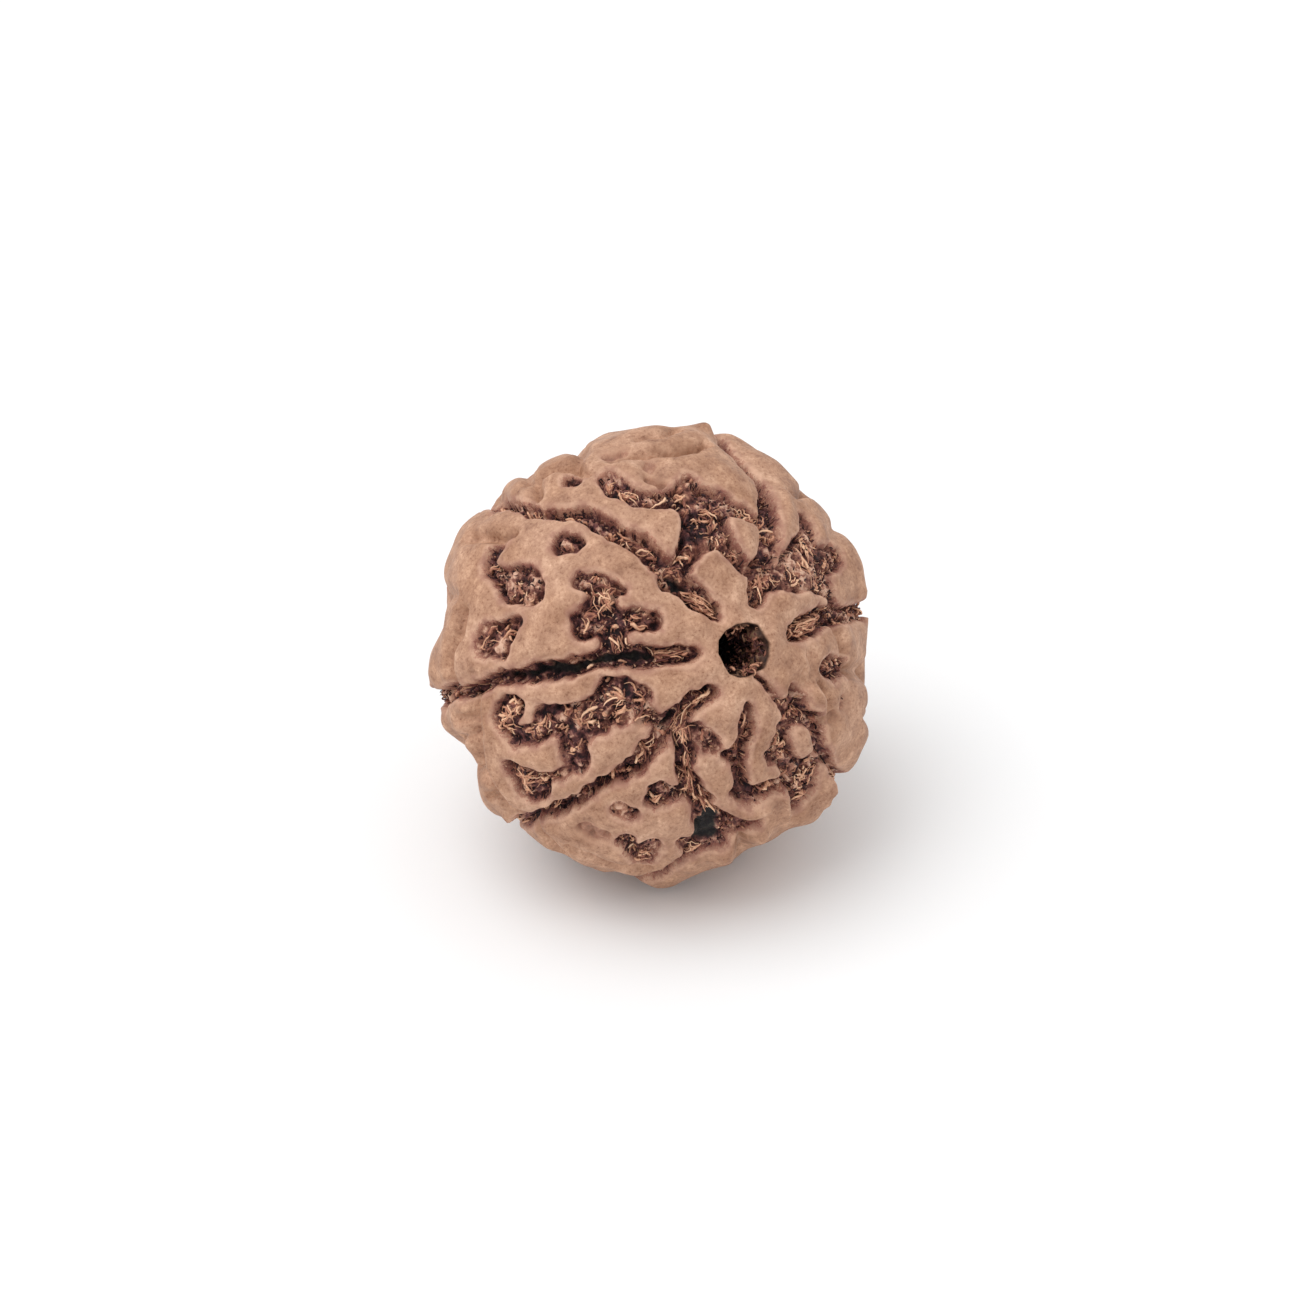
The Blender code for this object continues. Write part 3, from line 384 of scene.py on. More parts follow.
# Swellings and hollows of the body: lon, turn, height, reach
SWELLINGS = (
    (8, 64, 0.50, 1.5),
    (25, 67, 0.10, 0.9),
    (44, 74, 0.35, 1.3),
    (51, 81, 0.20, 1.0),
    (56, 84, 0.35, 1.5),
    (62, 81, 0.35, 0.9),
    (88, 90, -0.35, 2.2),
    (90, 101, -0.40, 1.4),
    (104, 105, -0.55, 1.2),
    (107, 99, -0.25, 2.2),
    (126, 102, 0.15, 0.9),
    (140, 104, 0.25, 1.1),
    (151, 106, -0.70, 1.9),
    (153, 97, -0.35, 1.5),
    (168, 101, 0.20, 0.9),
    (173, 107, 0.35, 0.9),
    (177, 106, -0.40, 0.7),
    (189, 97, -0.80, 1.1),
    (195, 111, -1.00, 2.2),
    (206, 99, 0.25, 1.5),
    (222, 98, -0.30, 3.0),
    (228, 92, -0.30, 1.0),
    (238, 94, -0.25, 2.2),
    (252, 87, 0.35, 1.4),
    (265, 80, -0.35, 1.1),
    (274, 78, -0.35, 1.0),
    (280, 84, -0.35, 1.0),
    (286, 72, -0.20, 0.8),
    (293, 69, 0.50, 1.1),
    (300, 61, 0.45, 0.7),
    (314, 64, 0.65, 2.0),
    (326, 63, -0.30, 0.8),
    (340, 69, -0.30, 1.0),
    (352, 62, 0.30, 1.0),
    (275, 131, 0.28, 3.4),
    (277, 68, -0.30, 1.2),
    (260, 71, -0.35, 0.9),
    (103, 92, -0.35, 1.5),
    (150, 119, -0.35, 1.4),
    (187, 96, -0.28, 1.2),
    (61, 79, 0.35, 0.6),
    (358, 62, 0.35, 0.9),
    (215, 102, 0.25, 0.7),
    (230, 98, -0.25, 0.9),
    (242, 86, -0.22, 0.7),
    (75, 84, -0.30, 0.7),
    (66, 74, 0.20, 0.8),
    (84, 78, 0.18, 0.7),
    (210, 92, 0.40, 0.6),
    (98, 85, -0.28, 0.8),
    (308, 70, 0.25, 0.7),
    (195, 104, -0.20, 1.4),
)


def unit(way):
    """Each direction at length 1."""
    return way / np.linalg.norm(way, axis=-1, keepdims=True)


def on_body(lon, turn):
    """The point of the smooth body at this lon and turn."""
    lon = np.radians(lon)
    turn = np.radians(turn)
    way = np.stack([np.sin(turn) * np.cos(lon), np.sin(turn) * np.sin(lon), np.cos(turn)], axis=-1)
    return to_body(way)


def to_body(way):
    """Each direction from the seed's middle, taken out to the smooth body."""
    way = unit(way)
    across = (way[..., 0] ** 2 + way[..., 1] ** 2) / EQUATOR_R**2
    along = way[..., 2] ** 2 / POLE_R**2
    return way / np.sqrt(across + along)[..., None]


def outward(points):
    """The smooth body's normals at these points of it."""
    return unit(points / np.array([EQUATOR_R**2, EQUATOR_R**2, POLE_R**2]))


def strokes_of(valleys):
    """One row a stroke: both ends, both half widths and the share of the depth."""
    rows = []
    for _, share, chain in valleys:
        chain = np.array(chain if len(chain) > 1 else chain * 2, float)
        ends = on_body(chain[:, 0], chain[:, 1])
        half = chain[:, 2] + RIM_MORE
        for i in range(len(chain) - 1):
            rows.append([*ends[i], *ends[i + 1], half[i], half[i + 1], share])
    return np.array(rows)


def distance_to(points, strokes):
    """How far each point lies outside the strokes' edges, and the share of the depth there."""
    total = np.full(len(points), 1e-12)
    shares = np.zeros(len(points))
    for row in strokes:
        start = row[0:3]
        run = row[3:6] - start
        reach = max(row[6], row[7]) + np.linalg.norm(run) + 2.8
        near = np.flatnonzero(np.abs(points - start).max(axis=1) < reach)
        offset = points[near] - start
        part = np.clip(offset @ run / max(run @ run, 1e-9), 0, 1)
        gap = np.linalg.norm(offset - part[:, None] * run, axis=1) - (row[6] + (row[7] - row[6]) * part)
        weight = np.exp(-np.clip(gap, -2, 2.7) / JOIN_SOFTNESS)
        total[near] += weight
        shares[near] += weight * row[8]
    return -JOIN_SOFTNESS * np.log(total), shares / total


def smooth_step(value):
    """Rises from 0 to 1 with level ends."""
    value = np.clip(value, 0, 1)
    return value * value * (3 - 2 * value)


def lattice_noise(points, size, salt):
    """Smooth noise between -1 and 1 whose lumps are about this size across."""
    place = points / size + 100.0
    corner = np.floor(place).astype(np.int64)
    blend = smooth_step(place - corner)
    result = np.zeros(len(points))
    for x in (0, 1):
        for y in (0, 1):
            for z in (0, 1):
                key = (corner[:, 0] + x) * 73856093 ^ (corner[:, 1] + y) * 19349663
                key = (key ^ (corner[:, 2] + z) * 83492791 ^ salt * 2654435761) & 0x7FFFFFFF
                key = (key * 1103515245 + 12345) & 0x7FFFFFFF
                key = ((key >> 11) ^ key) * 1597334677 & 0x7FFFFFFF
                value = key / 0x3FFFFFFF - 1
                share = (blend[:, 0] if x else 1 - blend[:, 0]) * (blend[:, 1] if y else 1 - blend[:, 1])
                result += value * share * (blend[:, 2] if z else 1 - blend[:, 2])
    return result


def far_clefts(random):
    """The clefts from where the photo loses them to near the far mouth."""
    made = []
    for name, _, chain in VALLEYS:
        if name not in ("cleft left", "cleft upper left", "cleft upper right", "cleft right",
                        "cleft lower right", "cleft lower left", "cleft down tail"):
            continue
        lon, turn, half = chain[-1]
        steps = [(lon, turn, half)]
        while turn < FAR_TURN:
            turn += random.uniform(5, 8)
            lon += random.uniform(-2.4, 2.4)
            steps.append((lon, turn, random.uniform(0.26, 0.46)))
        made.append((name + " far", 1.3, tuple(steps)))
    return made


def hidden_pits(random, taken):
    """Winding pits in the lobes out of the photo's view, clear of each other and the rest spot."""
    rest = on_body(*REST_LON_TURN)
    strokes = []
    for _ in range(HIDDEN_TRIES):
        point = to_body(random.normal(size=3))
        heading = random.normal(size=3)
        steps = random.integers(1, 6)
        halves = random.uniform(0.26, 0.70, steps + 1)
        share = random.uniform(0.8, 1.3)
        turns = random.normal(0, 0.8, steps)
        lengths = random.uniform(0.7, 1.5, steps)
        chain = [point]
        for turn, length in zip(turns, lengths):
            normal = outward(chain[-1])
            heading = heading - heading @ normal * normal
            heading = heading / np.linalg.norm(heading)
            heading = heading * np.cos(turn) + np.cross(normal, heading) * np.sin(turn)
            chain.append(to_body(chain[-1] + heading * length))
        chain = np.array(chain)
        seen = outward(chain) @ np.array(SEEN_SIDE) > 0.0
        by_rest = np.linalg.norm(chain - rest, axis=1) < REST_CLEAR
        by_mouth = np.hypot(chain[:, 0], chain[:, 1]) < MOUTH_CLEAR
        gap = distance_to(chain, np.vstack([taken, *strokes]))[0] - halves
        if seen.any() or by_rest.any() or by_mouth.any() or gap.min() < PIT_CLEAR:
            continue
        rows = [[*chain[i], *chain[i + 1], halves[i], halves[i + 1], share] for i in range(steps)]
        strokes.append(np.array(rows))
    return np.vstack(strokes)


def fold_height(points):
    """The folds, ridges, swellings and hollows that the skin carries outside its valleys."""
    height = np.zeros(len(points))
    for _, rise, chain in FOLDS:
        chain = np.array(chain, float)
        ends = on_body(chain[:, 0], chain[:, 1])
        near = np.flatnonzero(np.linalg.norm(points - ends.mean(axis=0), axis=1) < 7)
        most = np.zeros(len(near))
        for i in range(len(chain) - 1):
            run = ends[i + 1] - ends[i]
            offset = points[near] - ends[i]
            part = np.clip(offset @ run / (run @ run), 0, 1)
            away = np.linalg.norm(offset - part[:, None] * run, axis=1)
            reach = chain[i, 2] + (chain[i + 1, 2] - chain[i, 2]) * part
            most = np.maximum(most, np.exp(-((away / reach) ** 2)))
        height[near] += rise * most
    for lon, turn, rise, reach in SWELLINGS:
        away = np.linalg.norm(points - on_body(lon, turn), axis=1)
        height += rise * np.exp(-((away / reach) ** 2))
    return height


def plateau_height(points, cleft_gap, gap):
    """The lobes' own shape: rounded off towards the clefts and pits, and pillowed on the lower right."""
    away = np.linalg.norm(points - on_body(*PUFFED_LON_TURN), axis=1)
    puffed = np.exp(-((away / PUFFED_REACH) ** 4))
    height = 0.16 * lattice_noise(points, 2.6, 4) + 0.09 * lattice_noise(points, 1.2, 5)
    height = height + fold_height(points)
    height = height + PUFFED_RISE * puffed * (1 - np.exp(-np.clip(gap, 0, 9) / 0.5))
    height = height - LOBE_DROP * (1 - 0.8 * puffed) * np.exp(-np.clip(cleft_gap, 0, 9) / LOBE_REACH)
    height = height - PILLOW_DROP * (1 - 0.6 * puffed) * np.exp(-np.clip(gap, 0, 9) / PILLOW_REACH)
    return height - SHOULDER_DROP * np.exp(-np.clip(gap, 0, 9) / SHOULDER_REACH)


def seed_strokes():
    """The strokes of the clefts, of all valleys and pits, and of the slits."""
    random = np.random.default_rng(SEED_NUMBER)
    far = far_clefts(random)
    clefts = strokes_of([row for row in VALLEYS if row[0].startswith("cleft")] + far)
    known = strokes_of(list(VALLEYS) + far)
    valleys = np.vstack([known, hidden_pits(random, known)])
    return clefts, valleys, strokes_of(SLITS)


def skin_form(points, strokes):
    """The skin's height over the smooth body, its plateaus' height, and the masks for its finish."""
    clefts, valleys, slits = strokes
    warp = np.stack([lattice_noise(points, 0.9, salt) for salt in (1, 2, 3)], axis=1)
    fray = np.stack([lattice_noise(points, 0.34, salt) for salt in (11, 12, 13)], axis=1)
    moved = points + 0.11 * warp + 0.10 * fray
    cleft_gap = distance_to(moved, clefts)[0]
    gap, share = distance_to(moved, valleys)
    slit_gap, slit_share = distance_to(moved, slits)
    inside = smooth_step((WALL_LEAD - gap) / FINE_WALL_RUN)
    top = plateau_height(points, cleft_gap, gap)
    lip = 0.045 * np.exp(-(((gap - 0.15) / 0.09) ** 2)) * np.clip(share, 0, 1)
    mat = 0.24 * smooth_step((-gap - 0.10) / 0.32) * np.clip(share, 0, 1)
    strand = 1 - np.abs(lattice_noise(moved, 0.30, 14)) * 2
    crumb = 0.17 * lattice_noise(points, 0.55, 6) + 0.09 * strand
    crumb = crumb + 0.09 * lattice_noise(points, 0.22, 15)
    slit = smooth_step((0.10 * lattice_noise(points, 0.24, 17) - slit_gap) / 0.10)
    skin = 0.012 * lattice_noise(points, 0.45, 16) * (1 - inside)
    skin = skin + 0.045 * lattice_noise(points, 0.85, 18) * (1 - inside)
    height = top + lip - VALLEY_DEPTH * share * inside + inside * (crumb + mat) + skin
    height = height - SLIT_DEPTH * slit_share * slit
    masks = {"valley_gap": gap, "valley_share": share, "slit": slit, "crumb": crumb}
    return height, top, masks


def seed_place():
    """From the seed's own axes, in metres, to where it stands in the frame."""
    turn = Matrix.Rotation(np.radians(90 - TILT_DEG), 4, "X")
    return Matrix.Translation((0, REST_AHEAD * MM, REST_CUT * MM)) @ turn


def placed(points):
    """Points in the seed's own millimetres as frame coordinates in metres."""
    place = np.array(seed_place())
    return (points * MM) @ place[:3, :3].T + place[:3, 3]


def new_object(name, data):
    """An object in the scene that holds this data."""
    obj = bpy.data.objects.new(name, data)
    bpy.context.scene.collection.objects.link(obj)
    return obj


def mesh_object(name, points, faces, masks):
    """An object from points in metres, triangle or quad corners, and named point masks."""
    mesh = bpy.data.meshes.new(name)
    mesh.from_pydata(points.tolist(), [], faces.tolist())
    for mask, values in masks.items():
        layer = mesh.attributes.new(mask, "FLOAT", "POINT")
        layer.data.foreach_set("value", np.ascontiguousarray(values, np.float32))
    mesh.update()
    mesh.polygons.foreach_set("use_smooth", [True] * len(mesh.polygons))
    return new_object(name, mesh)


def fine_ball():
    """Directions and triangles of a finely divided ball."""
    work = bmesh.new()
    bmesh.ops.create_icosphere(work, subdivisions=SKIN_LEVELS, radius=1)
    mesh = bpy.data.meshes.new("fine_ball")
    work.to_mesh(mesh)
    work.free()
    way = np.empty(len(mesh.vertices) * 3)
    mesh.vertices.foreach_get("co", way)
    corners = np.empty(len(mesh.loops), np.int32)
    mesh.loops.foreach_get("vertex_index", corners)
    bpy.data.meshes.remove(mesh)
    return way.reshape(-1, 3), corners.reshape(-1, 3)


def hole_radius(lon, depth):
    """The hole's many-cornered wall: its radius at this lon, in radians, and depth under the rim."""
    corners = np.radians([lon for lon, _ in HOLE_CORNERS] + [360 + HOLE_CORNERS[0][0]])
    radii = np.array([radius for _, radius in HOLE_CORNERS] + [HOLE_CORNERS[0][1]])
    lon = np.mod(lon, 2 * np.pi)
    side = np.clip(np.searchsorted(corners, lon, "right") - 1, 0, len(corners) - 2)
    before, after = corners[side], corners[side + 1]
    first, second = radii[side], radii[side + 1]
    wall = first * second * np.sin(after - before)
    wall = wall / (first * np.sin(lon - before) + second * np.sin(after - lon))
    return wall * (1 - HOLE_TAPER * depth)


def wall_crumbs(lon, depth, points):
    """How far the hole's wall stands in, in millimetres: most on the side that the photo shows lit."""
    lit = 0.35 + 0.65 * smooth_step(0.5 + 0.5 * np.cos(lon - np.radians(LIT_LON_DEG)))
    lumps = 0.16 + 0.26 * lattice_noise(points, 0.55, 21) + 0.14 * lattice_noise(points, 0.24, 22)
    return lumps * lit * smooth_step((depth - 0.18) / 0.45)


def mouth_paths(way):
    """Where each direction near a pole lands: how far outside the rim, or how far down the wall."""
    turn = np.degrees(np.arccos(np.clip(np.abs(way[:, 2]), 0, 1)))
    rim_turn = np.degrees(np.arcsin(HOLE_CORNERS[0][1] / POLE_R))
    span = np.radians(BLEND_TURN - rim_turn) * POLE_R
    along = np.where(
        turn > MOUTH_TURN,
        -(turn - MOUTH_TURN) / (BLEND_TURN - MOUTH_TURN) * span,
        (MOUTH_TURN - turn) / MOUTH_TURN * MOUTH_DEPTH,
    )
    rounding = np.clip((along + RIM_ROUND) / (2 * RIM_ROUND), 0, 1)
    on_rim = np.abs(along) < RIM_ROUND
    outside = np.where(on_rim, (1 - rounding) ** 2 * RIM_ROUND, np.clip(-along, 0, None))
    depth = np.where(on_rim, rounding**2 * RIM_ROUND, np.clip(along, 0, None))
    return turn, outside, depth


def seed_skin(strokes):
    """The seed's whole skin with both mouths of its hole, and the masks that its finish uses."""
    way, faces = fine_ball()
    turn, outside, depth = mouth_paths(way)
    near_pole = turn < BLEND_TURN
    lon = np.arctan2(way[:, 1], way[:, 0])
    side = np.where(way[:, 2] > 0, 1.0, -1.0)
    rim = hole_radius(lon, 0)
    new_turn = np.arcsin(np.clip(rim / POLE_R, 0, 1)) + outside / POLE_R
    tail = np.clip(outside / MOUTH_BLEND, 0, 1)
    straight = np.radians(np.clip(turn, 0, BLEND_TURN))
    new_turn = np.where(near_pole, new_turn * (1 - tail**4) + straight * tail**4, straight)
    across = np.sin(new_turn)
    polar = np.stack([across * np.cos(lon), across * np.sin(lon), np.cos(new_turn) * side], axis=1)
    points = to_body(np.where(near_pole[:, None], polar, way))
    height, _, masks = skin_form(points, strokes)
    skin = points + outward(points) * height[:, None]
    in_hole = near_pole & (depth > 0)
    deep = skin - (side * depth)[:, None] * np.array([0, 0, 1])
    crumbs = wall_crumbs(lon, depth, deep)
    narrow = hole_radius(lon, depth) / rim - crumbs / np.maximum(np.hypot(skin[:, 0], skin[:, 1]), 1e-6)
    skin[in_hole, 0] *= narrow[in_hole]
    skin[in_hole, 1] *= narrow[in_hole]
    skin[:, 2] -= np.where(in_hole, side * depth, 0)
    masks["hole_depth"] = np.where(in_hole, depth, 0.0)
    masks["crumb"] = np.where(in_hole, crumbs, masks["crumb"])
    low = placed(skin)
    low[:, 2] = np.maximum(low[:, 2], 0)
    open_end = near_pole & (turn < OPEN_TURN)
    faces = faces[~open_end[faces].any(axis=1)]
    return low, faces, masks


def thinned(obj, keep, spare):
    """The object with about this many triangles, most of them where spare is low."""
    group = obj.vertex_groups.new(name="seen")
    levels = np.clip(np.round(spare * 10).astype(int), 0, 10)
    for level in range(1, 11):
        group.add(np.flatnonzero(levels == level).tolist(), level / 10, "REPLACE")
    modifier = obj.modifiers.new("fewer", "DECIMATE")
    modifier.ratio = keep / len(obj.data.polygons)
    modifier.vertex_group = group.name
    modifier.vertex_group_factor = 1.0
    graph = bpy.context.evaluated_depsgraph_get()
    thin = bpy.data.meshes.new_from_object(obj.evaluated_get(graph))
    obj.modifiers.remove(modifier)
    old = obj.data
    obj.data = thin
    bpy.data.meshes.remove(old)
    obj.vertex_groups.clear()
    return obj


def build_skin(strokes):
    """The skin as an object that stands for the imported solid."""
    points, faces, masks = seed_skin(strokes)
    way = unit(points - placed(np.zeros((1, 3))))
    seen = np.array(seed_place())[:3, :3] @ np.array(SEEN_SIDE)
    spare = np.clip(0.55 - way @ seen, 0, 1)
    spare = smooth_step(spare * 2.0) * 0.75
    skin = mesh_object("seed_skin", points, faces, masks)
    skin = thinned(skin, SKIN_TRIANGLES, spare)
    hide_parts("rudraksha_seed")
    return skin


def tube_faces(count, length, sides):
    """The quads of this many open tubes, each with this many rings of points."""
    index = np.arange(count * length * sides).reshape(count, length, sides)
    beside = np.roll(index, -1, axis=2)
    quads = [index[:, :-1], index[:, 1:], beside[:, 1:], beside[:, :-1]]
    return np.stack(quads, axis=-1).reshape(-1, 4)


def build_lining():
    """The middle of the string hole, between the two mouths of the skin."""
    rings, sides = LINING_RINGS, LINING_SIDES
    lon = np.tile(np.arange(sides) * 2 * np.pi / sides, rings)
    level = np.repeat(np.linspace(-LINING_HALF, LINING_HALF, rings), sides)
    depth = MOUTH_LEVEL - np.abs(level)
    radius = hole_radius(lon, depth)
    places = np.stack([radius * np.cos(lon), radius * np.sin(lon), level], axis=1)
    crumbs = wall_crumbs(lon, depth, places) - 0.03
    places[:, 0] *= 1 - crumbs / radius
    places[:, 1] *= 1 - crumbs / radius
    ones = np.ones(len(places))
    masks = {"valley_gap": ones, "valley_share": ones * 0, "slit": ones * 0}
    masks.update(crumb=crumbs, hole_depth=depth)
    return mesh_object("hole_lining", placed(places), tube_faces(1, rings, sides), masks)


def walked(point, heading, length, turns):
    """Courses that walk over the smooth body from their starts, turning at every step."""
    steps = turns.shape[1]
    course = [point]
    for i in range(steps):
        normal = outward(point)
        heading = unit(heading - (heading * normal).sum(1, keepdims=True) * normal)
        angle = turns[:, i, None]
        heading = heading * np.cos(angle) + np.cross(normal, heading) * np.sin(angle)
        point = to_body(point + heading * (length / steps)[:, None])
        course.append(point)
    return np.stack(course, axis=1)


def laid(course, lift, strokes, under=0.15, edge=-0.05, open_slit=0.35):
    """The courses set on the valley floors, and which of them lie wholly inside."""
    count = len(course)
    flat = course.reshape(-1, 3)
    height, top, masks = skin_form(flat, strokes)
    height = np.minimum(height + lift.ravel(), top - under)
    inner = (masks["valley_gap"].reshape(count, -1) < edge).all(axis=1)
    inner &= masks["slit"].reshape(count, -1).max(axis=1) < open_slit
    return (flat + outward(flat) * height[:, None]).reshape(course.shape), inner


def strand_courses(strokes):
    """Frayed tufts of kinked strands on the valley floors, with a thickness and a paleness each."""
    random = np.random.default_rng(SEED_NUMBER + 1)
    starts = to_body(random.normal(size=(TUFT_TRIES, 3)))
    gap, share = distance_to(starts, strokes[1])
    held = np.flatnonzero((gap < -0.12) & (share > 0.35))[:TUFTS]
    tuft = np.repeat(held, TUFT_STRANDS)
    count = len(tuft)
    own = random.uniform(0, 1, len(starts))[tuft]
    heading = random.normal(size=(len(starts), 3))[tuft] + random.normal(0, 0.38, (count, 3))
    point = to_body(starts[tuft] + random.normal(0, 0.07, (count, 3)))
    length = (0.26 + 0.95 * own**1.4) * random.uniform(0.5, 1.15, count)
    turns = random.normal(0, 0.36, (count, FIBRE_POINTS - 1)) + random.normal(0, 0.07, (count, 1))
    course = walked(point, heading, length, turns)
    arch = np.sin(np.linspace(0.2, np.pi * 0.85, FIBRE_POINTS))
    rise = random.uniform(0, 1, (count, 1)) ** 1.5
    lift = 0.08 + 0.30 * rise * arch + random.normal(0.0, 0.03, (count, FIBRE_POINTS))
    raised, inner = laid(course, lift, strokes, 0.11)
    thick = 0.026 + 0.070 * random.uniform(0, 1, count) ** 2.0
    pale = 0.25 + 0.36 * own + 0.30 * rise[:, 0] + random.normal(0, 0.20, count)
    return raised[inner], thick[inner], pale[inner]


def combed_courses(strokes):
    """Pale strands combed along a few stretches of the clefts, with a thickness and a paleness each."""
    random = np.random.default_rng(SEED_NUMBER + 4)
    ends = np.array([(*on_body(*first), *on_body(*last)) for first, last, _ in COMBED])
    half = np.array([half for _, _, half in COMBED])
    run = np.linalg.norm(ends[:, 3:] - ends[:, :3], axis=1)
    strand = random.choice(len(COMBED), COMBED_STRANDS, p=run * half / (run * half).sum())
    along = random.uniform(-0.1, 0.8, (COMBED_STRANDS, 1))
    aside = random.normal(0, 0.5, (COMBED_STRANDS, 3)) * half[strand, None]
    point = to_body(ends[strand, :3] * (1 - along) + ends[strand, 3:] * along + aside)
    heading = (ends[strand, 3:] - ends[strand, :3]) / run[strand, None]
    heading = heading + random.normal(0, 0.16, (COMBED_STRANDS, 3))
    length = random.uniform(0.35, 1.3, COMBED_STRANDS)
    course = walked(point, heading, length, random.normal(0, 0.16, (COMBED_STRANDS, FIBRE_POINTS - 1)))
    rise = random.uniform(0, 1, (COMBED_STRANDS, 1))
    lift = 0.06 + 0.32 * rise + random.normal(0.0, 0.025, (COMBED_STRANDS, FIBRE_POINTS))
    raised, inner = laid(course, lift, strokes, 0.06, -0.04, 0.8)
    thick = 0.020 + 0.045 * random.uniform(0, 1, COMBED_STRANDS) ** 1.8
    pale = 0.38 + 0.34 * rise[:, 0] + random.normal(0, 0.18, COMBED_STRANDS)
    return raised[inner], thick[inner], pale[inner]


def bit_courses(strokes):
    """Short broken bits strewn thickly over the valley floors, from dark to pale."""
    random = np.random.default_rng(SEED_NUMBER + 3)
    starts = to_body(random.normal(size=(BIT_TRIES, 3)))
    gap, share = distance_to(starts, strokes[1])
    on_wall = (gap > -0.15) & (gap < 0.02)
    clump = lattice_noise(starts, 0.42, 33) + 0.5 * lattice_noise(starts, 0.9, 34)
    kept = (gap <= -0.15) & (random.uniform(0, 1, len(starts)) < FLOOR_SHARE) & (clump > -0.25)
    on_wall &= clump > -0.05
    held = np.flatnonzero((on_wall | kept) & (share > 0.45))[:BITS]
    point = starts[held]
    count = len(point)
    length = 0.10 + 0.24 * random.uniform(0, 1, count) ** 1.6
    heading = random.normal(size=(count, 3))
    course = walked(point, heading, length, random.normal(0, 0.55, (count, BIT_POINTS - 1)))
    free = 1 - on_wall[held, None] * 0.75
    tilt = random.normal(0, 0.42, (count, 1)) * free * length[:, None]
    tilt = tilt * np.linspace(-0.5, 1.0, BIT_POINTS)
    lift = 0.02 + np.abs(random.normal(0, 0.05, (count, 1))) * free + tilt
    raised, inner = laid(course, lift, strokes, 0.05, 0.01)
    thick = 0.022 + 0.055 * random.uniform(0, 1, count) ** 2.0
    pale = -0.12 + 0.95 * random.uniform(0, 1, count) ** 2.6 + 0.42 * clump[held]
    return raised[inner], thick[inner], pale[inner]


def crumb_courses():
    """Short bits that lie along the hole's wall, near its near mouth."""
    random = np.random.default_rng(SEED_NUMBER + 2)
    lon = np.radians(random.normal(-30, 62, HOLE_CRUMBS))
    depth = random.uniform(0.35, 3.3, HOLE_CRUMBS)
    inset = random.uniform(0.05, 0.42, HOLE_CRUMBS)
    radius = hole_radius(lon, depth) - inset
    middle = np.stack([radius * np.cos(lon), radius * np.sin(lon), CRUMB_LEVEL - depth], axis=1)
    heading = unit(random.normal(size=(HOLE_CRUMBS, 3)))
    bend = random.normal(0, 0.07, (HOLE_CRUMBS, 1, 3))
    along = np.linspace(-0.5, 0.5, FIBRE_POINTS)[None, :, None]
    length = random.uniform(0.12, 0.5, (HOLE_CRUMBS, 1, 1))
    course = middle[:, None] + heading[:, None] * along * length + bend * (1 - (2 * along) ** 2)
    # Painted shade: the crumbs darken deeper down the hole.
    pale = random.uniform(-0.1, 0.72, HOLE_CRUMBS) - 0.2 * smooth_step((depth - 1.2) / 2.0)
    return course, random.uniform(0.03, 0.08, HOLE_CRUMBS), pale


def build_fibres(name, courses, thick, pale, sides):
    """One mesh of thin tapered tubes along the courses."""
    count, length, _ = courses.shape
    ahead = unit(np.gradient(courses, axis=1))
    out = outward(courses.reshape(-1, 3)).reshape(courses.shape)
    side = np.cross(ahead, out + 0.01)
    side = side / np.maximum(np.linalg.norm(side, axis=2, keepdims=True), 1e-9)
    up = np.cross(side, ahead)
    taper = np.interp(np.linspace(0, 1, length), [0, 0.15, 0.8, 1], [0.7, 1.0, 0.8, 0.15])
    around = np.arange(sides) * 2 * np.pi / sides
    width = (thick[:, None] * taper)[:, :, None, None]
    ring = side[:, :, None] * np.cos(around)[:, None] + up[:, :, None] * np.sin(around)[:, None]
    points = (courses[:, :, None] + ring * width).reshape(-1, 3)
    tone = np.repeat(pale, length * sides)
    return mesh_object(name, placed(points), tube_faces(count, length, sides), {"paleness": tone})


def plug(tree, value, socket):
    """Links a socket, or sets a plain number or colour."""
    if isinstance(value, bpy.types.NodeSocket):
        tree.links.new(value, socket)
    elif isinstance(value, tuple):
        socket.default_value = (*value, 1)
    else:
        socket.default_value = value


def new_node(tree, kind, inputs, **settings):
    """A shader node with these settings, and its inputs linked or set."""
    node = tree.nodes.new("ShaderNode" + kind)
    for name, value in settings.items():
        setattr(node, name, value)
    for name, value in inputs.items():
        plug(tree, value, node.inputs[name])
    return node


def mask_node(tree, name):
    """Reads a named point mask."""
    settings = {"attribute_type": "GEOMETRY", "attribute_name": name}
    return new_node(tree, "Attribute", {}, **settings).outputs["Fac"]


def noise_node(tree, place, scale, detail=4.0, roughness=0.55):
    """Noise at this many lumps a millimetre."""
    inputs = {"Vector": place, "Scale": scale, "Detail": detail, "Roughness": roughness}
    return new_node(tree, "TexNoise", inputs).outputs["Fac"]


def ramp_node(tree, value, stops):
    """A value turned into a colour through these stops."""
    node = new_node(tree, "ValToRGB", {"Fac": value})
    bar = node.color_ramp
    while len(bar.elements) < len(stops):
        bar.elements.new(1.0)
    for element, (place, colour) in zip(bar.elements, stops):
        element.position = place
        element.color = (*colour, 1)
    return node.outputs["Color"]


def range_node(tree, value, low, high, to_low=0.0, to_high=1.0):
    """A value stretched smoothly from one range to another and held inside it."""
    inputs = {"Value": value, "From Min": low, "From Max": high, "To Min": to_low, "To Max": to_high}
    return new_node(tree, "MapRange", inputs, interpolation_type="SMOOTHSTEP").outputs["Result"]


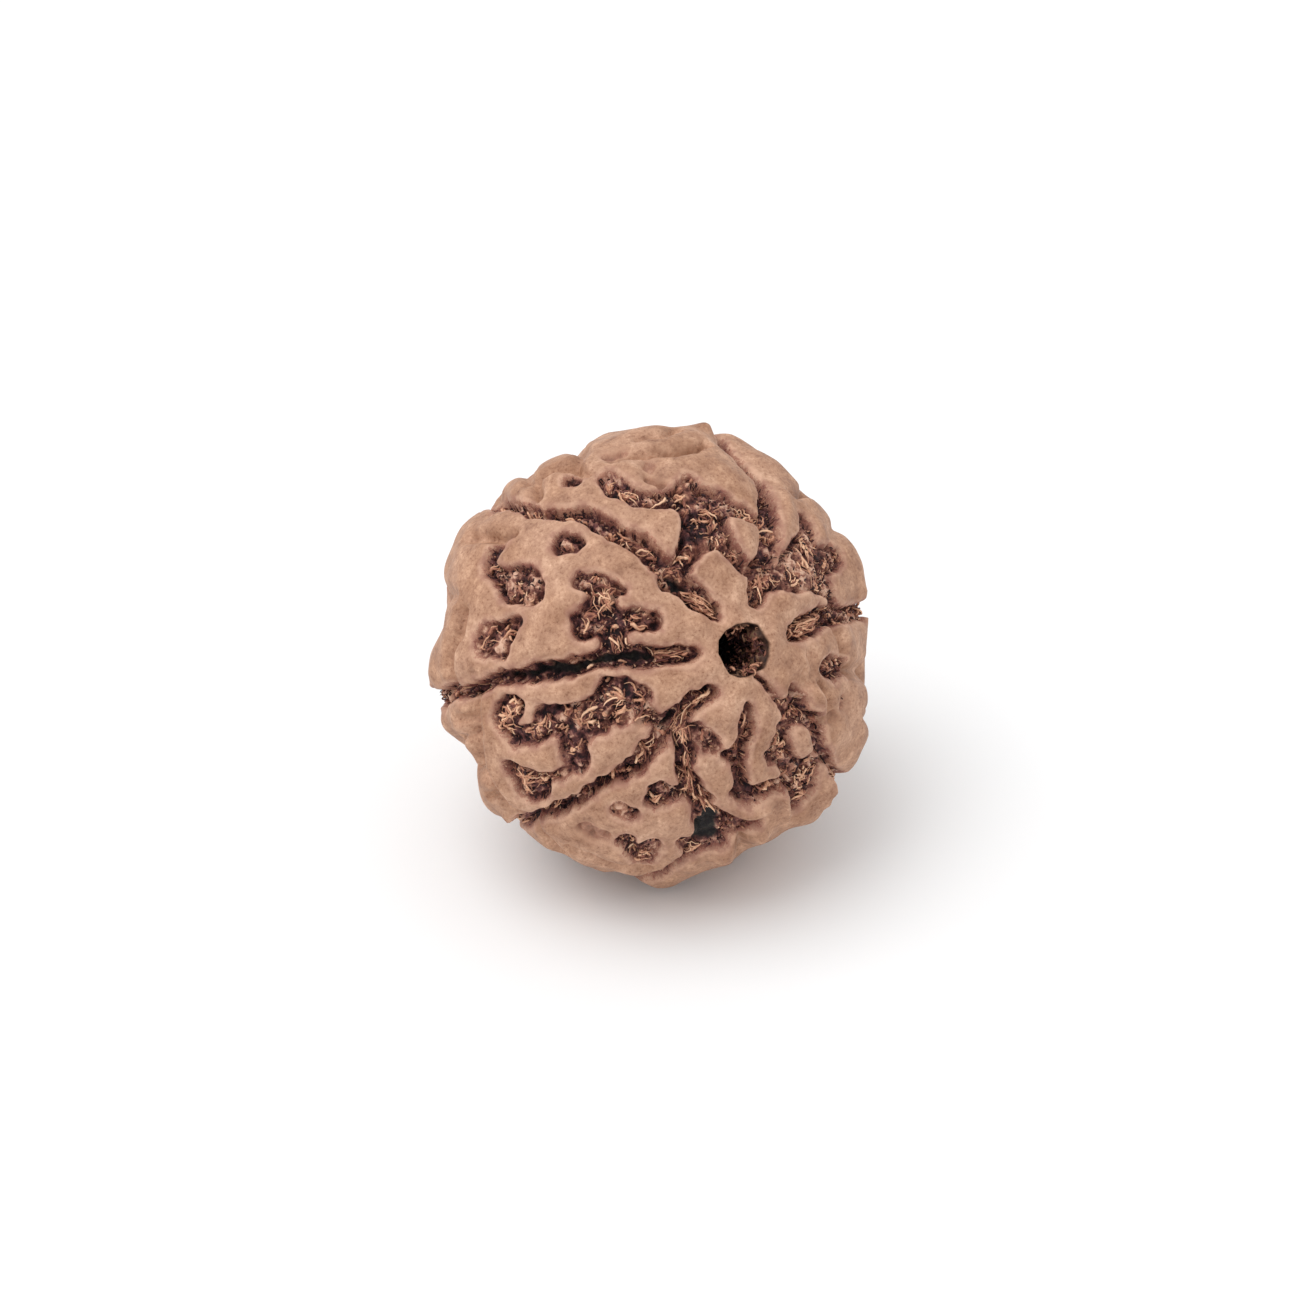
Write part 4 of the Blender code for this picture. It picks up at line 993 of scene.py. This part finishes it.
def mix_node(tree, share, first, second, blend="MIX"):
    """Two colours mixed by a share."""
    inputs = {"Factor": share, "A": first, "B": second}
    return new_node(tree, "Mix", inputs, data_type="RGBA", blend_type=blend).outputs["Result"]


def math_node(tree, kind, first, second):
    """A sum, product or other math of two values."""
    return new_node(tree, "Math", {0: first, 1: second}, operation=kind).outputs["Value"]


def times(tree, first, second):
    """The product of two values."""
    return math_node(tree, "MULTIPLY", first, second)


def plus(tree, first, second):
    """The sum of two values."""
    return math_node(tree, "ADD", first, second)


def millimetres(tree):
    """The surface's own place in millimetres."""
    place = tree.nodes.new("ShaderNodeTexCoord").outputs["Object"]
    inputs = {0: place, "Scale": 1 / MM}
    return new_node(tree, "VectorMath", inputs, operation="SCALE").outputs["Vector"]


def new_material(name, specular):
    """A material with this specular level, its node tree and its surface."""
    made = bpy.data.materials.new(name)
    made.use_nodes = True
    surface = made.node_tree.nodes["Principled BSDF"]
    surface.inputs["Specular IOR Level"].default_value = specular
    return made, made.node_tree, surface


def finish_surface(tree, surface, colour, rough, relief, strength, distance):
    """Gives the surface its colour, its roughness and a bump whose distance is in millimetres."""
    inputs = {"Strength": strength, "Distance": distance * MM, "Height": relief}
    bump = new_node(tree, "Bump", inputs).outputs["Normal"]
    for name, value in {"Base Color": colour, "Roughness": rough, "Normal": bump}.items():
        plug(tree, value, surface.inputs[name])


def skin_colour(tree, noises, gap, weight):
    """Cloudy red-brown with dark speckles and painted pale glints, a painted highlight along the
    valleys' rims, and reddish stains beside them that also paint shade at the valleys' edges.
    """
    skin = ramp_node(tree, noises["cloudy"], (
        (0.32, (0.290, 0.146, 0.090)), (0.43, (0.400, 0.220, 0.140)),
        (0.54, (0.470, 0.270, 0.176)), (0.67, (0.60, 0.370, 0.252)),
    ))
    tint = ramp_node(tree, noises["broad"], ((0.34, (0.90, 0.84, 0.78)), (0.66, (1.08, 1.09, 1.10))))
    skin = mix_node(tree, 1.0, skin, tint, "MULTIPLY")
    # Dark speckles are the skin's own; the brightest stops paint pale glints on the grain, a painted
    # highlight.
    specks_and_glints = ramp_node(tree, noises["grain"], (
        (0.30, (0.52, 0.42, 0.37)), (0.41, (0.87, 0.82, 0.79)), (0.52, (1.0, 1.0, 1.0)),
        (0.64, (1.10, 1.11, 1.12)), (0.72, (1.36, 1.42, 1.48)),
    ))
    specked_and_glinting = mix_node(tree, 1.0, skin, specks_and_glints, "MULTIPLY")
    skin = mix_node(tree, range_node(tree, gap, 0.05, 0.5, 0.45, 1.0), skin, specked_and_glinting)
    # Painted highlight: a paler band along each valley's rim.
    rim = times(tree, range_node(tree, gap, 0.30, 0.10), weight)
    skin = mix_node(tree, times(tree, rim, 0.55), skin, (0.68, 0.415, 0.290))
    # Reddish stain beside the valleys, in patches, that also paints shade on the skin at their edges.
    stain = plus(tree, times(tree, noises["patch"], 0.6), times(tree, noises["fray"], 0.4))
    stain_and_edge_shade = times(tree, range_node(tree, gap, 0.46, 0.0), weight)
    stain_and_edge_shade = times(tree, stain_and_edge_shade, range_node(tree, stain, 0.42, 0.60))
    return mix_node(tree, times(tree, stain_and_edge_shade, 0.75), skin, (0.27, 0.105, 0.072))


def bed_colour(tree, place, share, fray_level):
    """The valley floors: purple-brown where they are deep, redder in broad patches and where shallow."""
    purple = ramp_node(tree, fray_level, (
        (0.36, (0.014, 0.005, 0.007)), (0.48, (0.070, 0.021, 0.023)), (0.59, (0.17, 0.058, 0.052)),
        (0.68, (0.40, 0.185, 0.130)), (0.77, (0.70, 0.430, 0.310)),
    ))
    reddish = ramp_node(tree, fray_level, (
        (0.34, (0.045, 0.012, 0.010)), (0.45, (0.14, 0.042, 0.031)), (0.57, (0.30, 0.120, 0.080)),
        (0.67, (0.52, 0.265, 0.175)), (0.77, (0.74, 0.46, 0.325)),
    ))
    patches = range_node(tree, noise_node(tree, place, 0.42, 2.0), 0.50, 0.60)
    shallow = range_node(tree, share, 1.05, 0.75, 0.0, 0.6)
    return mix_node(tree, math_node(tree, "MAXIMUM", patches, shallow), purple, reddish)


def hole_colour(tree, depth, fray_level):
    """The string hole's wall: brown crumbs, with painted shade that darkens it to near black with depth.
    """
    wall = ramp_node(tree, fray_level, (
        (0.42, (0.02, 0.010, 0.008)), (0.64, (0.09, 0.042, 0.028)), (0.88, (0.38, 0.21, 0.13)),
    ))
    return mix_node(tree, range_node(tree, depth, 1.6, 3.4), wall, (0.010, 0.006, 0.006))


def shell_material():
    """Pale red-brown skin, ragged purple-brown valleys, and the painted shade that makes the slits near
    black and the hole dark.
    """
    made, tree, surface = new_material("dry_shell", 0.36)
    place = millimetres(tree)
    gap = mask_node(tree, "valley_gap")
    share = mask_node(tree, "valley_share")
    depth = mask_node(tree, "hole_depth")
    noises = {
        "broad": noise_node(tree, place, 0.45, 3.0),
        "cloudy": noise_node(tree, place, 1.1, 6.0, 0.68),
        "grain": noise_node(tree, place, 6.5, 4.0, 0.72),
        "patch": noise_node(tree, place, 1.3, 3.0),
        "fray": noise_node(tree, place, 3.4, 6.0, 0.7),
        "torn": noise_node(tree, place, 2.6, 7.0, 0.80),
        "fine": noise_node(tree, place, 14.0, 4.0, 0.6),
        "lumps": noise_node(tree, place, 2.2, 3.0, 0.6),
    }
    fray, torn = noises["fray"], noises["torn"]
    weight = range_node(tree, share, 0.25, 0.75)
    fray_level = plus(tree, times(tree, mask_node(tree, "crumb"), 1.3), fray)
    skin = skin_colour(tree, noises, gap, weight)
    # The edges of the walls and floors are torn by noise
    ragged = plus(tree, gap, times(tree, math_node(tree, "SUBTRACT", torn, 0.5), 0.80))
    patches = range_node(tree, noises["patch"], 0.40, 0.60)
    brown = mix_node(tree, patches, (0.42, 0.195, 0.130), (0.24, 0.082, 0.058))
    colour = mix_node(tree, times(tree, range_node(tree, ragged, 0.05, 0.01), weight), skin, brown)
    inner = times(tree, range_node(tree, ragged, -0.03, -0.06), weight)
    colour = mix_node(tree, inner, colour, bed_colour(tree, place, share, fray_level))
    # Painted shade: near black in the narrow slits, with the dark smear of the pocket's floor.
    slit_shade_and_smear = range_node(tree, fray, 0.45, 0.70)
    slit_shade_and_smear = mix_node(tree, slit_shade_and_smear, (0.006, 0.004, 0.005), (0.045, 0.038, 0.028))
    colour = mix_node(tree, mask_node(tree, "slit"), colour, slit_shade_and_smear)
    in_hole = range_node(tree, depth, 0.03, 0.25)
    colour = mix_node(tree, in_hole, colour, hole_colour(tree, depth, fray_level))
    rough = range_node(tree, noises["cloudy"], 0.2, 0.8, 0.54, 0.70)
    relief = plus(tree, times(tree, noises["grain"], 0.42), times(tree, noises["fine"], 0.22))
    relief = plus(tree, relief, times(tree, noises["lumps"], 0.60))
    torn_in = times(tree, range_node(tree, gap, 0.12, -0.04), weight)
    torn_in = times(tree, torn_in, plus(tree, times(tree, torn, 2.2), times(tree, fray, 1.6)))
    finish_surface(tree, surface, colour, rough, plus(tree, relief, torn_in), 0.6, 0.09)
    return made


def fibre_material():
    """Fibres from dark brown to pale straw."""
    made, tree, surface = new_material("dry_fibre", 0.3)
    place = millimetres(tree)
    shade = noise_node(tree, place, 4.0, 3.0)
    change = times(tree, math_node(tree, "SUBTRACT", shade, 0.5), 0.6)
    # The paleness mask also carries the painted shade of the crumbs deep in the hole.
    colour = ramp_node(tree, plus(tree, mask_node(tree, "paleness"), change), (
        (0.0, (0.030, 0.010, 0.012)), (0.25, (0.125, 0.038, 0.032)), (0.5, (0.38, 0.155, 0.098)),
        (0.75, (0.68, 0.365, 0.225)), (1.0, (0.90, 0.58, 0.380)),
    ))
    rough = range_node(tree, shade, 0.3, 0.7, 0.55, 0.75)
    finish_surface(tree, surface, colour, rough, noise_node(tree, place, 18.0, 2.0), 0.3, 0.02)
    return made


def build_floor():
    """A wide sheet of plain pale paper under the seed."""
    paper, _, surface = new_material("pale_paper", 0.1)
    surface.inputs["Base Color"].default_value = (0.872, 0.877, 0.882, 1)
    surface.inputs["Roughness"].default_value = 0.9
    points = np.array([(-1, -1, 0), (1, -1, 0), (1, 1, 0), (-1, 1, 0)]) * FLOOR_HALF
    floor = mesh_object("pale_floor", points, np.array([(0, 1, 2, 3)]), {})
    floor.data.materials.append(paper)


def build_light():
    """A bright even surround with a soft square light from the upper left."""
    world = bpy.data.worlds.new("soft_surround")
    world.use_nodes = True
    background = world.node_tree.nodes["Background"]
    background.inputs["Color"].default_value = (1, 1, 1, 1)
    background.inputs["Strength"].default_value = SURROUND
    bpy.context.scene.world = world
    lamp = bpy.data.lights.new("upper_left", "AREA")
    lamp.shape = "SQUARE"
    lamp.size = LAMP_SIZE
    lamp.energy = LAMP_POWER
    obj = new_object("upper_left", lamp)
    obj.location = LAMP_PLACE
    way = Vector(LAMP_AIM) - Vector(LAMP_PLACE)
    obj.rotation_euler = way.to_track_quat("-Z", "Y").to_euler()


def build_camera():
    """The photograph's camera: a long lens that looks down on the seed from the front left."""
    azimuth = np.radians(AZIMUTH_DEG)
    elevation = np.radians(ELEVATION_DEG)
    level = np.cos(elevation)
    back = Vector((np.sin(azimuth) * level, -np.cos(azimuth) * level, np.sin(elevation)))
    right = Vector((np.cos(azimuth), np.sin(azimuth), 0))
    up = back.cross(right)
    middle = Vector((0, REST_AHEAD * MM, REST_CUT * MM))
    aim = middle - right * (AIM_LEFT_PX / PX_PER_MM * MM) + up * (AIM_UP_PX / PX_PER_MM * MM)
    lens = bpy.data.cameras.new("photo_camera")
    lens.lens = LENS
    lens.sensor_width = SENSOR
    lens.clip_start = 0.01
    camera = new_object("photo_camera", lens)
    distance = PHOTO_PX / PX_PER_MM * LENS / SENSOR * MM
    camera.location = aim + back * distance
    camera.rotation_euler = (-back).to_track_quat("-Z", "Y").to_euler()
    bpy.context.scene.camera = camera


def main():
    """Loads the frame, dresses the seed, and sets up the floor, light and camera."""
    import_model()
    strokes = seed_strokes()
    shell = shell_material()
    skin = build_skin(strokes)
    lining = build_lining()
    bits = bit_courses(strokes)
    half = len(bits[0]) // 2
    fibres = [
        build_fibres("valley_fibres", *strand_courses(strokes), FIBRE_SIDES),
        build_fibres("cleft_strands", *combed_courses(strokes), FIBRE_SIDES),
        build_fibres("valley_crumbs", *(part[:half] for part in bits), BIT_SIDES),
        build_fibres("valley_crumbs_more", *(part[half:] for part in bits), BIT_SIDES),
        build_fibres("hole_crumbs", *crumb_courses(), FIBRE_SIDES),
    ]
    straw = fibre_material()
    for piece in (skin, lining):
        piece.data.materials.clear()
        piece.data.materials.append(shell)
    for piece in fibres:
        piece.data.materials.append(straw)
    for piece in (skin, lining, *fibres):
        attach(piece, "root")
    build_floor()
    build_light()
    build_camera()
    bpy.context.scene.view_settings.view_transform = "Standard"


main()
